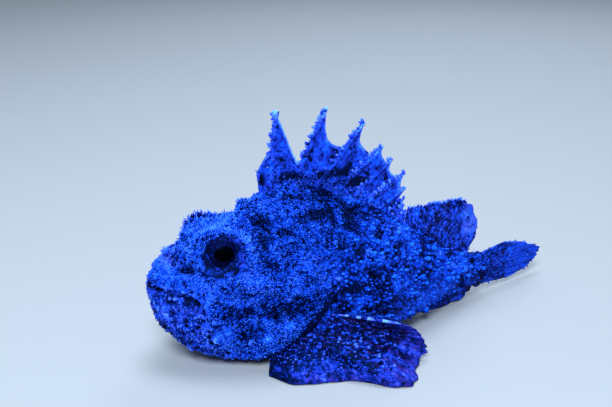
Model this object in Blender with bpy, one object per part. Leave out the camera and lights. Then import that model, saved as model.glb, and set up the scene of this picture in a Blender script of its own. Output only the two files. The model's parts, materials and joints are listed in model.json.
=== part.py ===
"""A humpback scorpionfish at life size, resting on its belly with its fins spread.

Lengths are in metres. The fish is shaped straight, in shares of its standard length: the first
coordinate runs from the tip of the lower jaw to the tail, the second is negative on the fish's left
side, and the third is the height above the floor. to_pose() turns shares into metres and gives the
body its sideways curve.
"""

import math

import bmesh
import bpy
import numpy as np
from mathutils import Matrix, Vector

# Driving dimensions
STANDARD_LENGTH = 0.190
GAP = 0.0003
HEAD_YAW = math.radians(-10.0)
TAIL_YAW = math.radians(14.0)
BEND_START, BEND_END = 0.30, 0.95

# How finely the body is built, and the place and angle about which it is finest
BODY_RINGS = 52
BODY_SIDES = 44
BODY_START = 0.0006
BODY_END = 1.0
FINE_PLACE, FINE_LENGTH, FINE_SHARE = 0.190, 0.080, 9.0
FINE_ANGLE, FINE_WIDTH, FINE_TURN = math.radians(47), math.radians(26), 1.0

# Where the tip of the lower jaw is: behind it the snout is blunt
JAW_TIP = 0.020

# The body's plain sections: place, top, bottom, half width, height of the widest point
SECTIONS = (
    (0.020, 0.197, 0.197, 0.000, 0.197),
    (0.025, 0.224, 0.164, 0.031, 0.197),
    (0.038, 0.250, 0.122, 0.052, 0.187),
    (0.066, 0.282, 0.078, 0.075, 0.172),
    (0.110, 0.314, 0.038, 0.100, 0.158),
    (0.170, 0.344, 0.010, 0.126, 0.150),
    (0.215, 0.362, -0.002, 0.137, 0.152),
    (0.260, 0.396, -0.005, 0.145, 0.156),
    (0.320, 0.428, -0.007, 0.151, 0.164),
    (0.390, 0.439, -0.008, 0.153, 0.170),
    (0.480, 0.416, -0.006, 0.146, 0.170),
    (0.590, 0.362, 0.000, 0.122, 0.160),
    (0.700, 0.290, 0.014, 0.085, 0.144),
    (0.810, 0.210, 0.038, 0.052, 0.120),
    (0.910, 0.156, 0.046, 0.032, 0.100),
    (1.000, 0.134, 0.026, 0.020, 0.080),
)
LOW_POWER = 2.3

# Swellings and hollows of the body: place, reach along the three axes, height along the normal
FORMS = (
    ("brow", (0.145, 0.070, 0.330), (0.034, 0.036, 0.036), 0.024),
    ("brow_hollow", (0.175, 0.000, 0.350), (0.070, 0.028, 0.060), -0.014),
    ("saddle", (0.224, 0.072, 0.368), (0.024, 0.050, 0.024), -0.040),
    ("crown", (0.270, 0.050, 0.392), (0.020, 0.030, 0.030), 0.002),
    ("crown_pit", (0.284, 0.088, 0.372), (0.026, 0.026, 0.030), -0.026),
    ("nape_front", (0.294, 0.050, 0.410), (0.030, 0.040, 0.030), -0.012),
    ("nape_pit", (0.422, 0.086, 0.375), (0.044, 0.032, 0.026), -0.012),
    ("snout", (0.040, 0.026, 0.262), (0.022, 0.026, 0.026), 0.008),
    ("nose", (0.078, 0.034, 0.292), (0.018, 0.018, 0.020), 0.007),
    ("cheek_front_hollow", (0.112, 0.086, 0.262), (0.030, 0.040, 0.020), -0.018),
    ("cheek_ridge", (0.250, 0.140, 0.232), (0.090, 0.060, 0.018), 0.013),
    ("upper_jaw", (0.090, 0.100, 0.190), (0.050, 0.060, 0.020), 0.012),
    ("cheek_hollow", (0.260, 0.150, 0.130), (0.040, 0.060, 0.030), -0.008),
    ("gill_cover_edge", (0.335, 0.150, 0.120), (0.018, 0.060, 0.060), 0.010),
    ("gill_cover", (0.400, 0.150, 0.225), (0.040, 0.080, 0.050), 0.012),
    ("shoulder_hollow", (0.490, 0.140, 0.190), (0.028, 0.080, 0.100), -0.012),
)

# The eye
EYE_CENTRE = (0.195, 0.058, 0.302)
EYE_RADIUS = 0.046
ORBIT_CENTRE = (0.195, 0.100, 0.302)
ORBIT_RADIUS = 0.054
ORBIT_RIM = 0.014
ORBIT_RIM_WIDTH = 0.016
ORBIT_DEPTH = 0.020
EYE_RINGS, EYE_SEGMENTS = 10, 16

# Where the head, lower jaw, trunk and tail part, seen from the side
GILL_LINE = (
    (0.290, 0.600),
    (0.300, 0.450),
    (0.345, 0.390),
    (0.410, 0.318),
    (0.452, 0.255),
    (0.446, 0.200),
    (0.411, 0.143),
    (0.371, 0.088),
    (0.327, 0.037),
    (0.275, -0.010),
    (0.250, -0.100),
)
MOUTH_LINE = ((-0.050, 0.218), (0.020, 0.215), (0.072, 0.213), (0.116, 0.206), (0.139, 0.180),
              (0.147, 0.148))
JAW_BACK = ((0.172, 0.100), (0.202, 0.050), (0.220, 0.000), (0.224, -0.050))
TAIL_START = 0.716
LINE_STEPS = 3
LIP_RADIUS = 0.0085

# Skin tassels and bony spines on each side: place, height on the flank, length, width, and where
# they point, as shares back, out and up
TASSEL_FLATNESS, TASSEL_TIP = 0.4, 0.5
SPINE_FLATNESS, SPINE_TIP = 0.8, 0.16
HEAD_TASSELS = (
    (0.172, 0.352, 0.016, 0.012, (-0.2, 0.5, 1.0)),
    (0.196, 0.356, 0.015, 0.012, (0.3, 0.7, 1.0)),
    (0.070, 0.288, 0.020, 0.010, (-0.6, 0.3, 1.0)),
    (0.052, 0.232, 0.014, 0.010, (-0.8, 0.6, 0.1)),
    (0.104, 0.222, 0.016, 0.012, (-0.2, 0.9, -0.6)),
    (0.160, 0.150, 0.018, 0.013, (0.2, 0.9, -0.8)),
    (0.200, 0.108, 0.016, 0.013, (0.3, 0.9, -0.7)),
    (0.248, 0.088, 0.018, 0.014, (0.3, 0.9, -0.7)),
    (0.298, 0.092, 0.016, 0.013, (0.6, 0.9, -0.6)),
    (0.340, 0.128, 0.016, 0.013, (0.8, 0.8, -0.4)),
)
HEAD_SPINES = (
    (0.190, 0.238, 0.022, 0.016, (1.0, 0.35, 0.10)),
    (0.236, 0.234, 0.022, 0.016, (1.0, 0.35, 0.05)),
    (0.284, 0.230, 0.024, 0.016, (1.0, 0.35, 0.00)),
    (0.318, 0.200, 0.030, 0.018, (1.0, 0.45, -0.10)),
    (0.322, 0.160, 0.022, 0.016, (1.0, 0.40, -0.45)),
    (0.262, 0.384, 0.018, 0.013, (1.0, 0.20, 0.45)),
    (0.290, 0.404, 0.018, 0.013, (1.0, 0.10, 0.45)),
    (0.402, 0.286, 0.026, 0.016, (1.0, 0.25, 0.10)),
    (0.398, 0.246, 0.026, 0.016, (1.0, 0.25, -0.05)),
)
JAW_TASSELS = (
    (0.048, 0.150, 0.016, 0.011, (-0.7, 0.7, -0.5)),
    (0.078, 0.112, 0.016, 0.012, (-0.3, 0.8, -0.7)),
    (0.116, 0.080, 0.016, 0.012, (-0.1, 0.9, -0.7)),
    (0.146, 0.052, 0.014, 0.012, (0.0, 1.0, -0.4)),
)
FLANK_TASSELS = 7
FLANK_LINE = ((0.455, 0.315), (0.674, 0.200))
FLANK_TASSEL = (0.018, 0.013, (0.8, 0.7, -0.1))
NOSTRILS = ((0.086, 0.276, 0.0075, 0.012), (0.128, 0.296, 0.0060, 0.008))

# Spines of the first back fin: place of the root, length, lean back from upright in degrees
BACK_SPINES = (
    (0.314, 0.054, -14.0),
    (0.332, 0.192, 5.0),
    (0.385, 0.206, 27.0),
    (0.440, 0.200, 43.0),
    (0.490, 0.172, 56.0),
    (0.533, 0.154, 61.0),
    (0.572, 0.140, 67.0),
    (0.606, 0.106, 71.0),
    (0.638, 0.074, 74.0),
    (0.660, 0.052, 66.0),
    (0.679, 0.038, 60.0),
    (0.694, 0.026, 42.0),
)
# Share of the spines' length that the web reaches at its lowest, for each gap, and how steeply it
# falls to that from the spine in front
WEB_NOTCHES = (0.52, 0.33, 0.64, 0.80, 0.89, 0.84, 0.80, 0.78, 0.78, 0.80, 0.80)
WEB_POWERS = (1.0, 1.7, 4.3, 6.0, 6.0, 5.0, 2.6, 2.6, 2.6, 2.6, 2.6)
# Share of the rays' length that the web reaches on all the other fins
RAY_WEB = 0.965

# Rays of the second back fin, tail fin and belly fin: root, length, lean
SOFT_RAYS = (
    (0.708, 0.044, 15.0),
    (0.728, 0.064, 31.0),
    (0.747, 0.085, 33.0),
    (0.766, 0.104, 36.0),
    (0.785, 0.127, 41.0),
    (0.805, 0.147, 47.5),
    (0.823, 0.161, 59.5),
    (0.840, 0.151, 75.0),
    (0.856, 0.122, 91.0),
    (0.870, 0.090, 114.0),
)
ANAL_RAYS = (
    (0.735, 0.060, 112.0),
    (0.752, 0.092, 108.0),
    (0.770, 0.118, 106.0),
    (0.788, 0.134, 104.0),
    (0.806, 0.136, 102.0),
    (0.824, 0.124, 100.0),
    (0.842, 0.100, 98.0),
)
TAIL_RAYS = 13
TAIL_ROOT = (0.985, 0.036, 0.124)
TAIL_TIPS = ((0.00, 1.110, 0.136), (0.16, 1.165, 0.126), (0.42, 1.278, 0.078),
             (0.62, 1.262, 0.052), (0.84, 1.205, 0.026), (1.00, 1.140, 0.020))

# Breast fins: share of the way from the top ray to the lowest, the place of the ray's tip, its arch
BREAST_RAYS = 17
BREAST_ROOT_TOP = (0.434, 0.138)
BREAST_ROOT_LOW = (0.318, 0.030)
BREAST_TIPS = (
    (0.00, 0.565, 0.228, 0.130, 0.002),
    (0.20, 0.620, 0.212, 0.088, 0.012),
    (0.44, 0.650, 0.210, 0.018, 0.024),
    (0.52, 0.602, 0.246, 0.003, 0.027),
    (0.60, 0.572, 0.316, 0.003, 0.029),
    (0.68, 0.532, 0.306, 0.003, 0.028),
    (0.76, 0.470, 0.244, 0.003, 0.026),
    (0.86, 0.395, 0.230, 0.003, 0.023),
    (0.94, 0.330, 0.214, 0.003, 0.019),
    (1.00, 0.288, 0.160, 0.003, 0.014),
)
# Belly fins, the same way
BELLY_RAYS = 6
BELLY_ROOT = ((0.395, 0.030), (0.400, 0.012))
BELLY_TIPS = (
    (0.00, 0.500, 0.150, 0.003, 0.010),
    (0.50, 0.590, 0.128, 0.003, 0.010),
    (1.00, 0.590, 0.072, 0.003, 0.010),
)

COLOURS = {
    "skin": (0.020, 0.075, 0.420),
    "web": (0.060, 0.050, 0.420),
    "eye": (0.004, 0.004, 0.020),
}


def smooth_curve(at, places, values):
    """A cubic through the points that doesn't overshoot them, read at the places given."""
    at, places, values = (np.asarray(list_, float) for list_ in (at, places, values))
    step = np.diff(places)
    slope = np.diff(values) / step
    tangent = np.concatenate([slope[:1], (slope[1:] + slope[:-1]) / 2, slope[-1:]])
    turns = slope[1:] * slope[:-1] <= 0
    tangent[1:-1][turns] = 0
    gentle = np.minimum(np.abs(np.append(slope, slope[-1])), np.abs(np.insert(slope, 0, slope[0])))
    tangent = np.sign(tangent) * np.minimum(np.abs(tangent), 3 * gentle)
    i = np.clip(np.searchsorted(places, at) - 1, 0, len(step) - 1)
    t = np.clip((at - places[i]) / step[i], 0, 1)
    return (
        (2 * t**3 - 3 * t**2 + 1) * values[i]
        + (t**3 - 2 * t**2 + t) * step[i] * tangent[i]
        + (3 * t**2 - 2 * t**3) * values[i + 1]
        + (t**3 - t**2) * step[i] * tangent[i + 1]
    )


def section_at(place):
    """Top, bottom, half width and widest height there. The root of the place gives a blunt snout."""
    table = np.array(SECTIONS)
    blunt = np.sqrt(np.clip(place - JAW_TIP, 0, None))
    return [smooth_curve(blunt, np.sqrt(table[:, 0] - JAW_TIP), table[:, i]) for i in range(1, 5)]


def top_power(place):
    """How square the back is there: flat between the eyes, narrow along the hump."""
    return (
        2.0
        + 0.5 * np.exp(-(((place - 0.18) / 0.09) ** 2))
        - 0.35 * np.exp(-(((place - 0.46) / 0.14) ** 2))
    )


def plain_point(place, angle):
    """A point of the plain body: angle 0 is the left side and a quarter turn the back."""
    top, low, half, mid = section_at(place)
    across, upward = np.cos(angle), np.sin(angle)
    power = 2 / np.where(upward > 0, top_power(place), LOW_POWER)
    side = -half * np.sign(across) * np.abs(across) ** power
    rise = np.where(upward > 0, top - mid, mid - low)
    height = mid + rise * np.sign(upward) * np.abs(upward) ** power
    return np.stack(np.broadcast_arrays(place, side, height), -1)


def outward(place, angle):
    """The unit normal of the plain body."""
    near, turn = 0.004, 0.03
    ahead = np.maximum(place - near, JAW_TIP + BODY_START / 2)
    along = plain_point(place + near, angle) - plain_point(ahead, angle)
    around = plain_point(place, angle + turn) - plain_point(place, angle - turn)
    normal = np.cross(along, around)
    return normal / np.maximum(np.linalg.norm(normal, axis=-1, keepdims=True), 1e-12)


def swelling(point):
    """How far the forms of the head and body lift the plain surface at a point."""
    mirrored = point * (1, 0, 1) + np.abs(point) * (0, 1, 0)
    lift = np.zeros(point.shape[:-1])
    for _name, centre, reach, height in FORMS:
        away = (mirrored - np.array(centre)) / np.array(reach)
        lift += height * np.exp(-(away**2).sum(-1))
    distance = np.linalg.norm(mirrored - np.array(ORBIT_CENTRE), axis=-1)
    lift += ORBIT_RIM * np.exp(-(((distance - ORBIT_RADIUS) / ORBIT_RIM_WIDTH) ** 2))
    lift -= ORBIT_DEPTH * np.exp(-((distance / (ORBIT_RADIUS * 0.72)) ** 4))
    return lift


def body_point(place, angle, grow=0.0):
    """A point of the finished body surface, moved out by grow, which is in shares."""
    plain = plain_point(place, angle)
    fade = np.clip((place - JAW_TIP) / 0.02, 0, 1)
    lift = swelling(plain) * fade + grow
    point = plain + outward(place, angle) * lift[..., None]
    point[..., 2] = np.maximum(point[..., 2], -grow)
    return point


def flank(place, height, left=True):
    """The point and the outward normal of the side of the body at that place and height."""
    angles = np.radians(np.linspace(-88, 88, 353))
    points = body_point(np.full(angles.shape, float(place)), angles)
    order = np.argsort(points[:, 2], kind="stable")
    angle = np.interp(height, points[order, 2], angles[order])
    point = body_point(np.array([float(place)]), np.array([angle]))[0]
    normal = outward(np.array([float(place)]), np.array([angle]))[0]
    mirror = np.array([1.0, 1.0 if left else -1.0, 1.0])
    return point * mirror, normal * mirror


def ridge_height(place):
    """The height of the back's middle line."""
    quarter = np.full(np.shape(place), math.pi / 2)
    return body_point(np.asarray(place, float), quarter)[..., 2]


def keel_height(place):
    """The height of the belly's middle line."""
    quarter = np.full(np.shape(place), -math.pi / 2)
    return body_point(np.asarray(place, float), quarter)[..., 2]


def to_pose(points):
    """Points in shares along the straight body, to metres along the curved one."""
    points = np.asarray(points, float)
    steps = np.linspace(-0.5, 2.0, 1001)
    blend = np.clip((steps - BEND_START) / (BEND_END - BEND_START), 0, 1)
    yaw = HEAD_YAW + (TAIL_YAW - HEAD_YAW) * blend**2 * (3 - 2 * blend)
    step = steps[1] - steps[0]
    middle_x = np.cumsum(np.cos(yaw)) * step
    middle_y = np.cumsum(np.sin(yaw)) * step
    place, side, height = points.T
    turn = np.interp(place, steps, yaw)
    x = np.interp(place, steps, middle_x) - side * np.sin(turn)
    y = np.interp(place, steps, middle_y) + side * np.cos(turn)
    return np.stack([x, y, height], -1) * STANDARD_LENGTH


def new_object(name, points, faces, collection):
    """An object from points in shares, with its faces turned outwards."""
    mesh = bpy.data.meshes.new(name)
    mesh.from_pydata([tuple(point) for point in points], [], faces)
    shaped = bmesh.new()
    shaped.from_mesh(mesh)
    bmesh.ops.recalc_face_normals(shaped, faces=shaped.faces)
    shaped.to_mesh(mesh)
    shaped.free()
    built = bpy.data.objects.new(name, mesh)
    collection.objects.link(built)
    return built


def tube_faces(rings, sides):
    """Faces of a tube of rings, with a fan to one point at each end, which come last."""
    faces = []
    for ring in range(rings - 1):
        for side in range(sides):
            a, b = ring * sides + side, ring * sides + (side + 1) % sides
            faces += [(a, b, b + sides), (a, b + sides, a + sides)]
    first, last, end = rings * sides, rings * sides + 1, (rings - 1) * sides
    for side in range(sides):
        after = (side + 1) % sides
        faces += [(side, first, after), (end + side, end + after, last)]
    return faces


def spaced(at, density, count):
    """A count of values between the ends of at, closer together where the density is high."""
    total = np.concatenate([[0], np.cumsum((density[1:] + density[:-1]) / 2 * np.diff(at))])
    return np.interp(np.linspace(0, total[-1], count), total, at)


def body_shell(name, grow, collection):
    """The whole body from jaw tip to tail base as one closed loft."""
    along = np.linspace(BODY_START, BODY_END - JAW_TIP, 4000)
    fine = np.exp(-(((along + JAW_TIP - FINE_PLACE) / FINE_LENGTH) ** 2))
    places = spaced(along, 1 / np.sqrt(along + 0.006) + FINE_SHARE * fine / 2, BODY_RINGS) + JAW_TIP
    around = np.linspace(0, 2 * math.pi, 1441)
    fine = sum(np.exp(-(((around - middle) / FINE_WIDTH) ** 2))
               for middle in (FINE_ANGLE, math.pi - FINE_ANGLE))
    angles = spaced(around, 1 + FINE_TURN * fine, BODY_SIDES + 1)[:-1]
    rings = body_point(places[:, None] + 0 * angles, angles + 0 * places[:, None], grow)
    rings[-1, :, 0] += grow
    caps = np.stack([rings[0].mean(0), rings[-1].mean(0)])
    caps[0, 0] -= BODY_START + grow
    points = np.concatenate([rings.reshape(-1, 3), caps])
    return new_object(name, points, tube_faces(BODY_RINGS, BODY_SIDES), collection)


def fan(name, middle, thickness, collection):
    """A closed sheet about a grid of points, columns by rows, split alike on both faces."""
    along = np.gradient(middle, axis=1)
    across = np.gradient(middle, axis=0)
    normal = np.cross(across, along)
    normal /= np.maximum(np.linalg.norm(normal, axis=-1, keepdims=True), 1e-12)
    half = normal * thickness[..., None] / 2
    columns, rows = thickness.shape
    faces = []
    count = columns * rows
    for u in range(columns - 1):
        for v in range(rows - 1):
            a, b = u * rows + v, (u + 1) * rows + v
            faces += [(a, b, b + 1), (a, b + 1, a + 1)]
            faces += [(count + a, count + b + 1, count + b), (count + a, count + a + 1, count + b + 1)]
    rim = [u * rows for u in range(columns)]
    rim += [(columns - 1) * rows + v for v in range(1, rows)]
    rim += [u * rows + rows - 1 for u in range(columns - 2, -1, -1)]
    rim += [v for v in range(rows - 2, 0, -1)]
    for a, b in zip(rim, rim[1:] + rim[:1]):
        faces += [(a, count + a, count + b), (a, count + b, b)]
    points = np.concatenate([(middle + half).reshape(-1, 3), (middle - half).reshape(-1, 3)])
    points[:, 2] = np.maximum(points[:, 2], 0)
    return new_object(name, points, faces, collection)


def combine(target, tool, operation):
    """Applies one Boolean to the target. A tool that is a collection is joined on and then emptied."""
    change = target.modifiers.new("change", "BOOLEAN")
    change.operation = operation
    change.solver = "EXACT"
    if isinstance(tool, bpy.types.Collection):
        change.operand_type = "COLLECTION"
        change.collection = tool
    else:
        change.object = tool
    graph = bpy.context.evaluated_depsgraph_get()
    made = bpy.data.meshes.new_from_object(target.evaluated_get(graph))
    target.modifiers.clear()
    target.data = made
    if isinstance(tool, bpy.types.Collection):
        for piece in list(tool.objects):
            bpy.data.objects.remove(piece)
    return target


def keep_largest(target):
    """Splits all faces into triangles and leaves only the largest closed surface."""
    shaped = bmesh.new()
    shaped.from_mesh(target.data)
    bmesh.ops.remove_doubles(shaped, verts=shaped.verts, dist=1e-6)
    bmesh.ops.triangulate(shaped, faces=shaped.faces)
    left = set(shaped.verts)
    groups = []
    while left:
        group, edge = set(), [left.pop()]
        while edge:
            vertex = edge.pop()
            group.add(vertex)
            near = {other.other_vert(vertex) for other in vertex.link_edges} & left
            left -= near
            edge.extend(near)
        groups.append(group)

    def size(group):
        faces = {face for vertex in group for face in vertex.link_faces}
        return sum(face.verts[0].co.dot(face.verts[1].co.cross(face.verts[2].co)) for face in faces)

    largest = max(groups, key=size)
    loose = [vertex for vertex in shaped.verts if vertex not in largest]
    bmesh.ops.delete(shaped, geom=loose, context="VERTS")
    shaped.to_mesh(target.data)
    shaped.free()
    return target


def side_curve(corners):
    """Points on a smooth line through corners given as (place, height)."""
    corners = np.array(corners)
    number = np.arange(len(corners))
    at = np.linspace(0, len(corners) - 1, (len(corners) - 1) * LINE_STEPS + 1)
    return np.stack([smooth_curve(at, number, corners[:, i]) for i in (0, 1)], -1)


def shifted(line, by):
    """The line moved sideways by a distance, to its left as it runs."""
    run = np.gradient(line, axis=0)
    run /= np.linalg.norm(run, axis=1, keepdims=True)
    return line + by * np.stack([-run[:, 1], run[:, 0]], -1)


def as_mesh(shape, collection):
    """A curve turned into a closed mesh where it stands, with its caps welded on."""
    bpy.context.scene.collection.objects.link(shape)
    graph = bpy.context.evaluated_depsgraph_get()
    mesh = bpy.data.meshes.new_from_object(shape.evaluated_get(graph))
    shaped = bmesh.new()
    shaped.from_mesh(mesh)
    shaped.transform(shape.matrix_world)
    bmesh.ops.remove_doubles(shaped, verts=shaped.verts, dist=1e-5)
    bmesh.ops.recalc_face_normals(shaped, faces=shaped.faces)
    shaped.to_mesh(mesh)
    shaped.free()
    built = bpy.data.objects.new(shape.name, mesh)
    bpy.data.objects.remove(shape)
    collection.objects.link(built)
    return built


def side_block(name, outline, collection):
    """A block right across the body, from an outline seen from the side."""
    line = bpy.data.curves.new(name, "CURVE")
    line.dimensions = "2D"
    line.fill_mode = "BOTH"
    line.extrude = 0.4
    spline = line.splines.new("POLY")
    spline.points.add(len(outline) - 1)
    spline.use_cyclic_u = True
    for point, (place, height) in zip(spline.points, outline):
        point.co = (place, height, 0, 1)
    shape = bpy.data.objects.new(name, line)
    shape.rotation_euler.x = math.radians(90)
    block = as_mesh(shape, collection)
    block.hide_render = True
    block.display_type = "WIRE"
    return block


def front_block(name, grow, collection):
    """All that lies in front of the gill line."""
    line = shifted(side_curve(GILL_LINE), grow)
    corners = np.array([(-0.2, -0.1), (-0.2, 0.6)])
    return side_block(name, np.concatenate([line, corners]), collection)


def jaw_block(name, grow, collection):
    """All that lies under the mouth line and in front of the jaw's hinge."""
    line = shifted(side_curve(MOUTH_LINE + JAW_BACK), grow)
    return side_block(name, np.concatenate([line, [(-0.05, -0.05)]]), collection)


def back_block(name, start, collection):
    """All that lies behind a place."""
    outline = np.array([(start, -0.1), (1.4, -0.1), (1.4, 0.6), (start, 0.6)])
    return side_block(name, outline, collection)


def ball(name, centre, radius, collection):
    """A ball with its poles to the fish's sides."""
    shaped = bmesh.new()
    place = Matrix.Translation(centre) @ Matrix.Rotation(math.radians(90), 4, "X")
    bmesh.ops.create_uvsphere(
        shaped, u_segments=EYE_SEGMENTS, v_segments=EYE_RINGS, radius=radius, matrix=place
    )
    mesh = bpy.data.meshes.new(name)
    shaped.to_mesh(mesh)
    shaped.free()
    built = bpy.data.objects.new(name, mesh)
    collection.objects.link(built)
    return built


def rod(name, path, radii, sides, collection):
    """A round rod along a path, with a radius for each of its points."""
    line = bpy.data.curves.new(name, "CURVE")
    line.dimensions = "3D"
    line.bevel_depth = 1
    line.bevel_resolution = (sides - 4) // 2
    line.use_fill_caps = True
    spline = line.splines.new("POLY")
    spline.points.add(len(path) - 1)
    for point, place, radius in zip(spline.points, path, radii):
        point.co = (*place, 1)
        point.radius = radius
    return as_mesh(bpy.data.objects.new(name, line), collection)


def lip(name, above, collection):
    """A rounded lip that follows the mouth line from corner to corner, above or below it."""
    offset = (1 if above else -1) * (LIP_RADIUS + 1.2 * GAP / STANDARD_LENGTH)
    line = shifted(side_curve(MOUTH_LINE), offset)
    line = line[line[:, 0] > JAW_TIP + 0.004]
    near, sunk = [], LIP_RADIUS * 0.4
    for share, (place, height) in zip(np.linspace(0, 1, len(line)), line):
        point, normal = flank(place, height)
        near.append((point - normal * sunk, LIP_RADIUS * (1 - 0.5 * share**3)))
    front = (np.array((JAW_TIP + 0.007, 0, line[0, 1])), LIP_RADIUS)
    far = [(point * (1, -1, 1), radius) for point, radius in near]
    path, radii = zip(*far[::-1], front, *near)
    return rod(name, path, radii, 6, collection)


def cone(base, direction, length, widths, sunk, flatness, collection, sides=5):
    """A tapered, flattened cone that grows from a point, its root sunk below it."""
    direction = Vector(direction).normalized()
    middle = Vector(base) + direction * (length - sunk) / 2
    turn = direction.to_track_quat("Z", "X").to_matrix().to_4x4()
    shaped = bmesh.new()
    bmesh.ops.create_cone(
        shaped, cap_ends=True, segments=sides, radius1=widths[0] / 2, radius2=widths[1] / 2,
        depth=length + sunk,
        matrix=Matrix.Translation(middle) @ turn @ Matrix.Diagonal((flatness, 1, 1, 1)),
    )
    mesh = bpy.data.meshes.new("cone")
    shaped.to_mesh(mesh)
    shaped.free()
    collection.objects.link(bpy.data.objects.new("cone", mesh))


def growths(table, flatness, tip, collection):
    """Tassels or spines from a table, on both sides of the body."""
    for place, height, length, width, points in table:
        for left in (True, False):
            base, _normal = flank(place, height, left)
            direction = np.array(points) * (1, -1 if left else 1, 1)
            widths = (width, width * tip)
            cone(base, direction, length, widths, width * 0.5, flatness, collection)


def flank_tassels(collection):
    """A row of tassels along the line of the flank."""
    share = np.linspace(0, 1, FLANK_TASSELS)
    (start, high), (end, low) = FLANK_LINE
    length, width, points = FLANK_TASSEL
    table = [
        (start + (end - start) * s, high + (low - high) * s, length * (1.1 - 0.3 * s), width, points)
        for s in share
    ]
    growths(table, TASSEL_FLATNESS, TASSEL_TIP, collection)


def nostrils(rims, pits):
    """Two short open tubes on each side of the snout."""
    for place, height, radius, length in NOSTRILS:
        for left in (True, False):
            base, normal = flank(place, height, left)
            cone(base, normal, length, (radius * 2.2, radius * 1.7), radius, 1, rims, 8)
            tip = base + normal * length
            cone(tip, normal, 0.004, (radius * 0.9, radius * 0.9), length * 0.9, 1, pits, 6)


def ray_grid(roots, tips, arches, rows, heights):
    """Columns of points from root to tip, one for each ray and some for the web between two.

    The heights are the web's, as shares of the rays' length: one tuple for each gap.
    """
    steps = np.linspace(0, 1, rows)
    columns, is_ray = [], []
    count = len(roots)
    arches = np.zeros(count) + arches
    for i in range(count):
        columns.append((roots[i], tips[i], arches[i]))
        is_ray.append(True)
        if i == count - 1:
            break
        for j, height in enumerate(heights[i]):
            share = (j + 1) / (len(heights[i]) + 1)
            root, tip, arch = (
                values[i] * (1 - share) + values[i + 1] * share for values in (roots, tips, arches)
            )
            columns.append((root, root + (tip - root) * height, arch * height))
            is_ray.append(False)
    grid = []
    for root, tip, arch in columns:
        column = root + (tip - root) * steps[:, None]
        column[:, 2] += arch * 4 * steps * (1 - steps)
        grid.append(column)
    return np.array(grid), np.array(is_ray)


def ray_thickness(is_ray, rows, root, ray, web, tip, fleshy=0.22):
    """Thickness over a fin: thick at the root, ridges on the rays, thin webs, thinner to the tips."""
    steps = np.linspace(0, 1, rows)
    flesh = np.clip(1 - steps / fleshy, 0, 1)
    thickness = np.where(is_ray[:, None], ray, web) * (1 - steps) + tip * steps
    return thickness + (root - thickness) * flesh


def leaning_tips(roots, rays):
    """The tips of middle-line rays from their lengths and leans."""
    lean = np.radians([ray[2] for ray in rays])
    length = np.array([ray[1] for ray in rays])
    return roots + np.stack([np.sin(lean) * length, 0 * length, np.cos(lean) * length], -1)


def middle_roots(rays, line_height, sunk):
    """Roots on the back's or belly's middle line, sunk into the body."""
    places = np.array([ray[0] for ray in rays])
    return np.stack([places, 0 * places, line_height(places) - sunk], -1)


MM = 0.001 / STANDARD_LENGTH


def spiny_fin(collection):
    roots = middle_roots(BACK_SPINES, ridge_height, 0.0)
    tips = leaning_tips(roots, BACK_SPINES)
    roots[:, 2] -= 0.020
    heights = [
        [notch + (1 - notch) * (1 - share) ** power for share in (0.25, 0.5, 0.75)]
        for notch, power in zip(WEB_NOTCHES, WEB_POWERS)
    ]
    grid, is_ray = ray_grid(roots, tips, 0, 7, heights)
    thickness = ray_thickness(is_ray, 7, 3.6 * MM, 2.6 * MM, 1.1 * MM, 0.8 * MM)
    return fan("spiny_back_fin", grid, thickness, collection)


def soft_fin(collection):
    roots = middle_roots(SOFT_RAYS, ridge_height, 0.0)
    tips = leaning_tips(roots, SOFT_RAYS)
    roots[:, 2] -= 0.016
    grid, is_ray = ray_grid(roots, tips, 0, 7, [(RAY_WEB,)] * len(roots))
    thickness = ray_thickness(is_ray, 7, 3.0 * MM, 1.8 * MM, 0.9 * MM, 0.6 * MM)
    return fan("soft_back_fin", grid, thickness, collection)


def anal_fin(collection):
    roots = middle_roots(ANAL_RAYS, keel_height, 0.0)
    tips = leaning_tips(roots, ANAL_RAYS)
    tips[:, 2] = np.maximum(tips[:, 2], 0.003)
    roots[:, 2] += 0.012
    grid, is_ray = ray_grid(roots, tips, 0, 6, [(RAY_WEB,)] * len(roots))
    thickness = ray_thickness(is_ray, 6, 2.4 * MM, 1.6 * MM, 0.9 * MM, 0.6 * MM)
    return fan("anal_fin", grid, thickness, collection)


def tail_fin(collection):
    share = np.linspace(0, 1, TAIL_RAYS)
    place, low, high = TAIL_ROOT
    roots = np.stack([place + 0 * share, 0 * share, high + (low - high) * share], -1)
    table = np.array(TAIL_TIPS)
    reach, rise = (smooth_curve(share, table[:, 0], table[:, i]) for i in (1, 2))
    tips = np.stack([reach, 0 * share, rise], -1)
    grid, is_ray = ray_grid(roots, tips, 0, 7, [(RAY_WEB,)] * len(roots))
    thickness = ray_thickness(is_ray, 7, 4.4 * MM, 1.9 * MM, 1.0 * MM, 0.6 * MM, 0.30)
    return fan("tail_fin", grid, thickness, collection)


def side_fan(roots, table, rows, thickness, left, name, collection):
    """A fan of rays from the side of the body to tips on a smooth line through the table."""
    share = np.linspace(0, 1, len(roots))
    table = np.array(table)
    *tips, arches = (smooth_curve(share, table[:, 0], table[:, i]) for i in range(1, 5))
    tips = np.stack(tips, -1) * (1, -1, 1)
    grid, is_ray = ray_grid(roots, tips, arches, rows, [(RAY_WEB,)] * len(roots))
    if not left:
        grid[..., 1] *= -1
    root, ray, web, tip = (value * MM for value in thickness)
    sheet = ray_thickness(is_ray, rows, root, ray, web, tip)
    grid[..., 2] = np.maximum(grid[..., 2], sheet / 2)
    return fan(name, grid, sheet, collection)


def root_line(top, low, count, sunk):
    """Roots down the left side of the body, sunk under its surface."""
    roots = []
    for share in np.linspace(0, 1, count):
        place = top[0] + (low[0] - top[0]) * share
        height = top[1] + (low[1] - top[1]) * share
        point, normal = flank(place, height)
        roots.append(point - normal * sunk)
    return np.array(roots)


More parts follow.
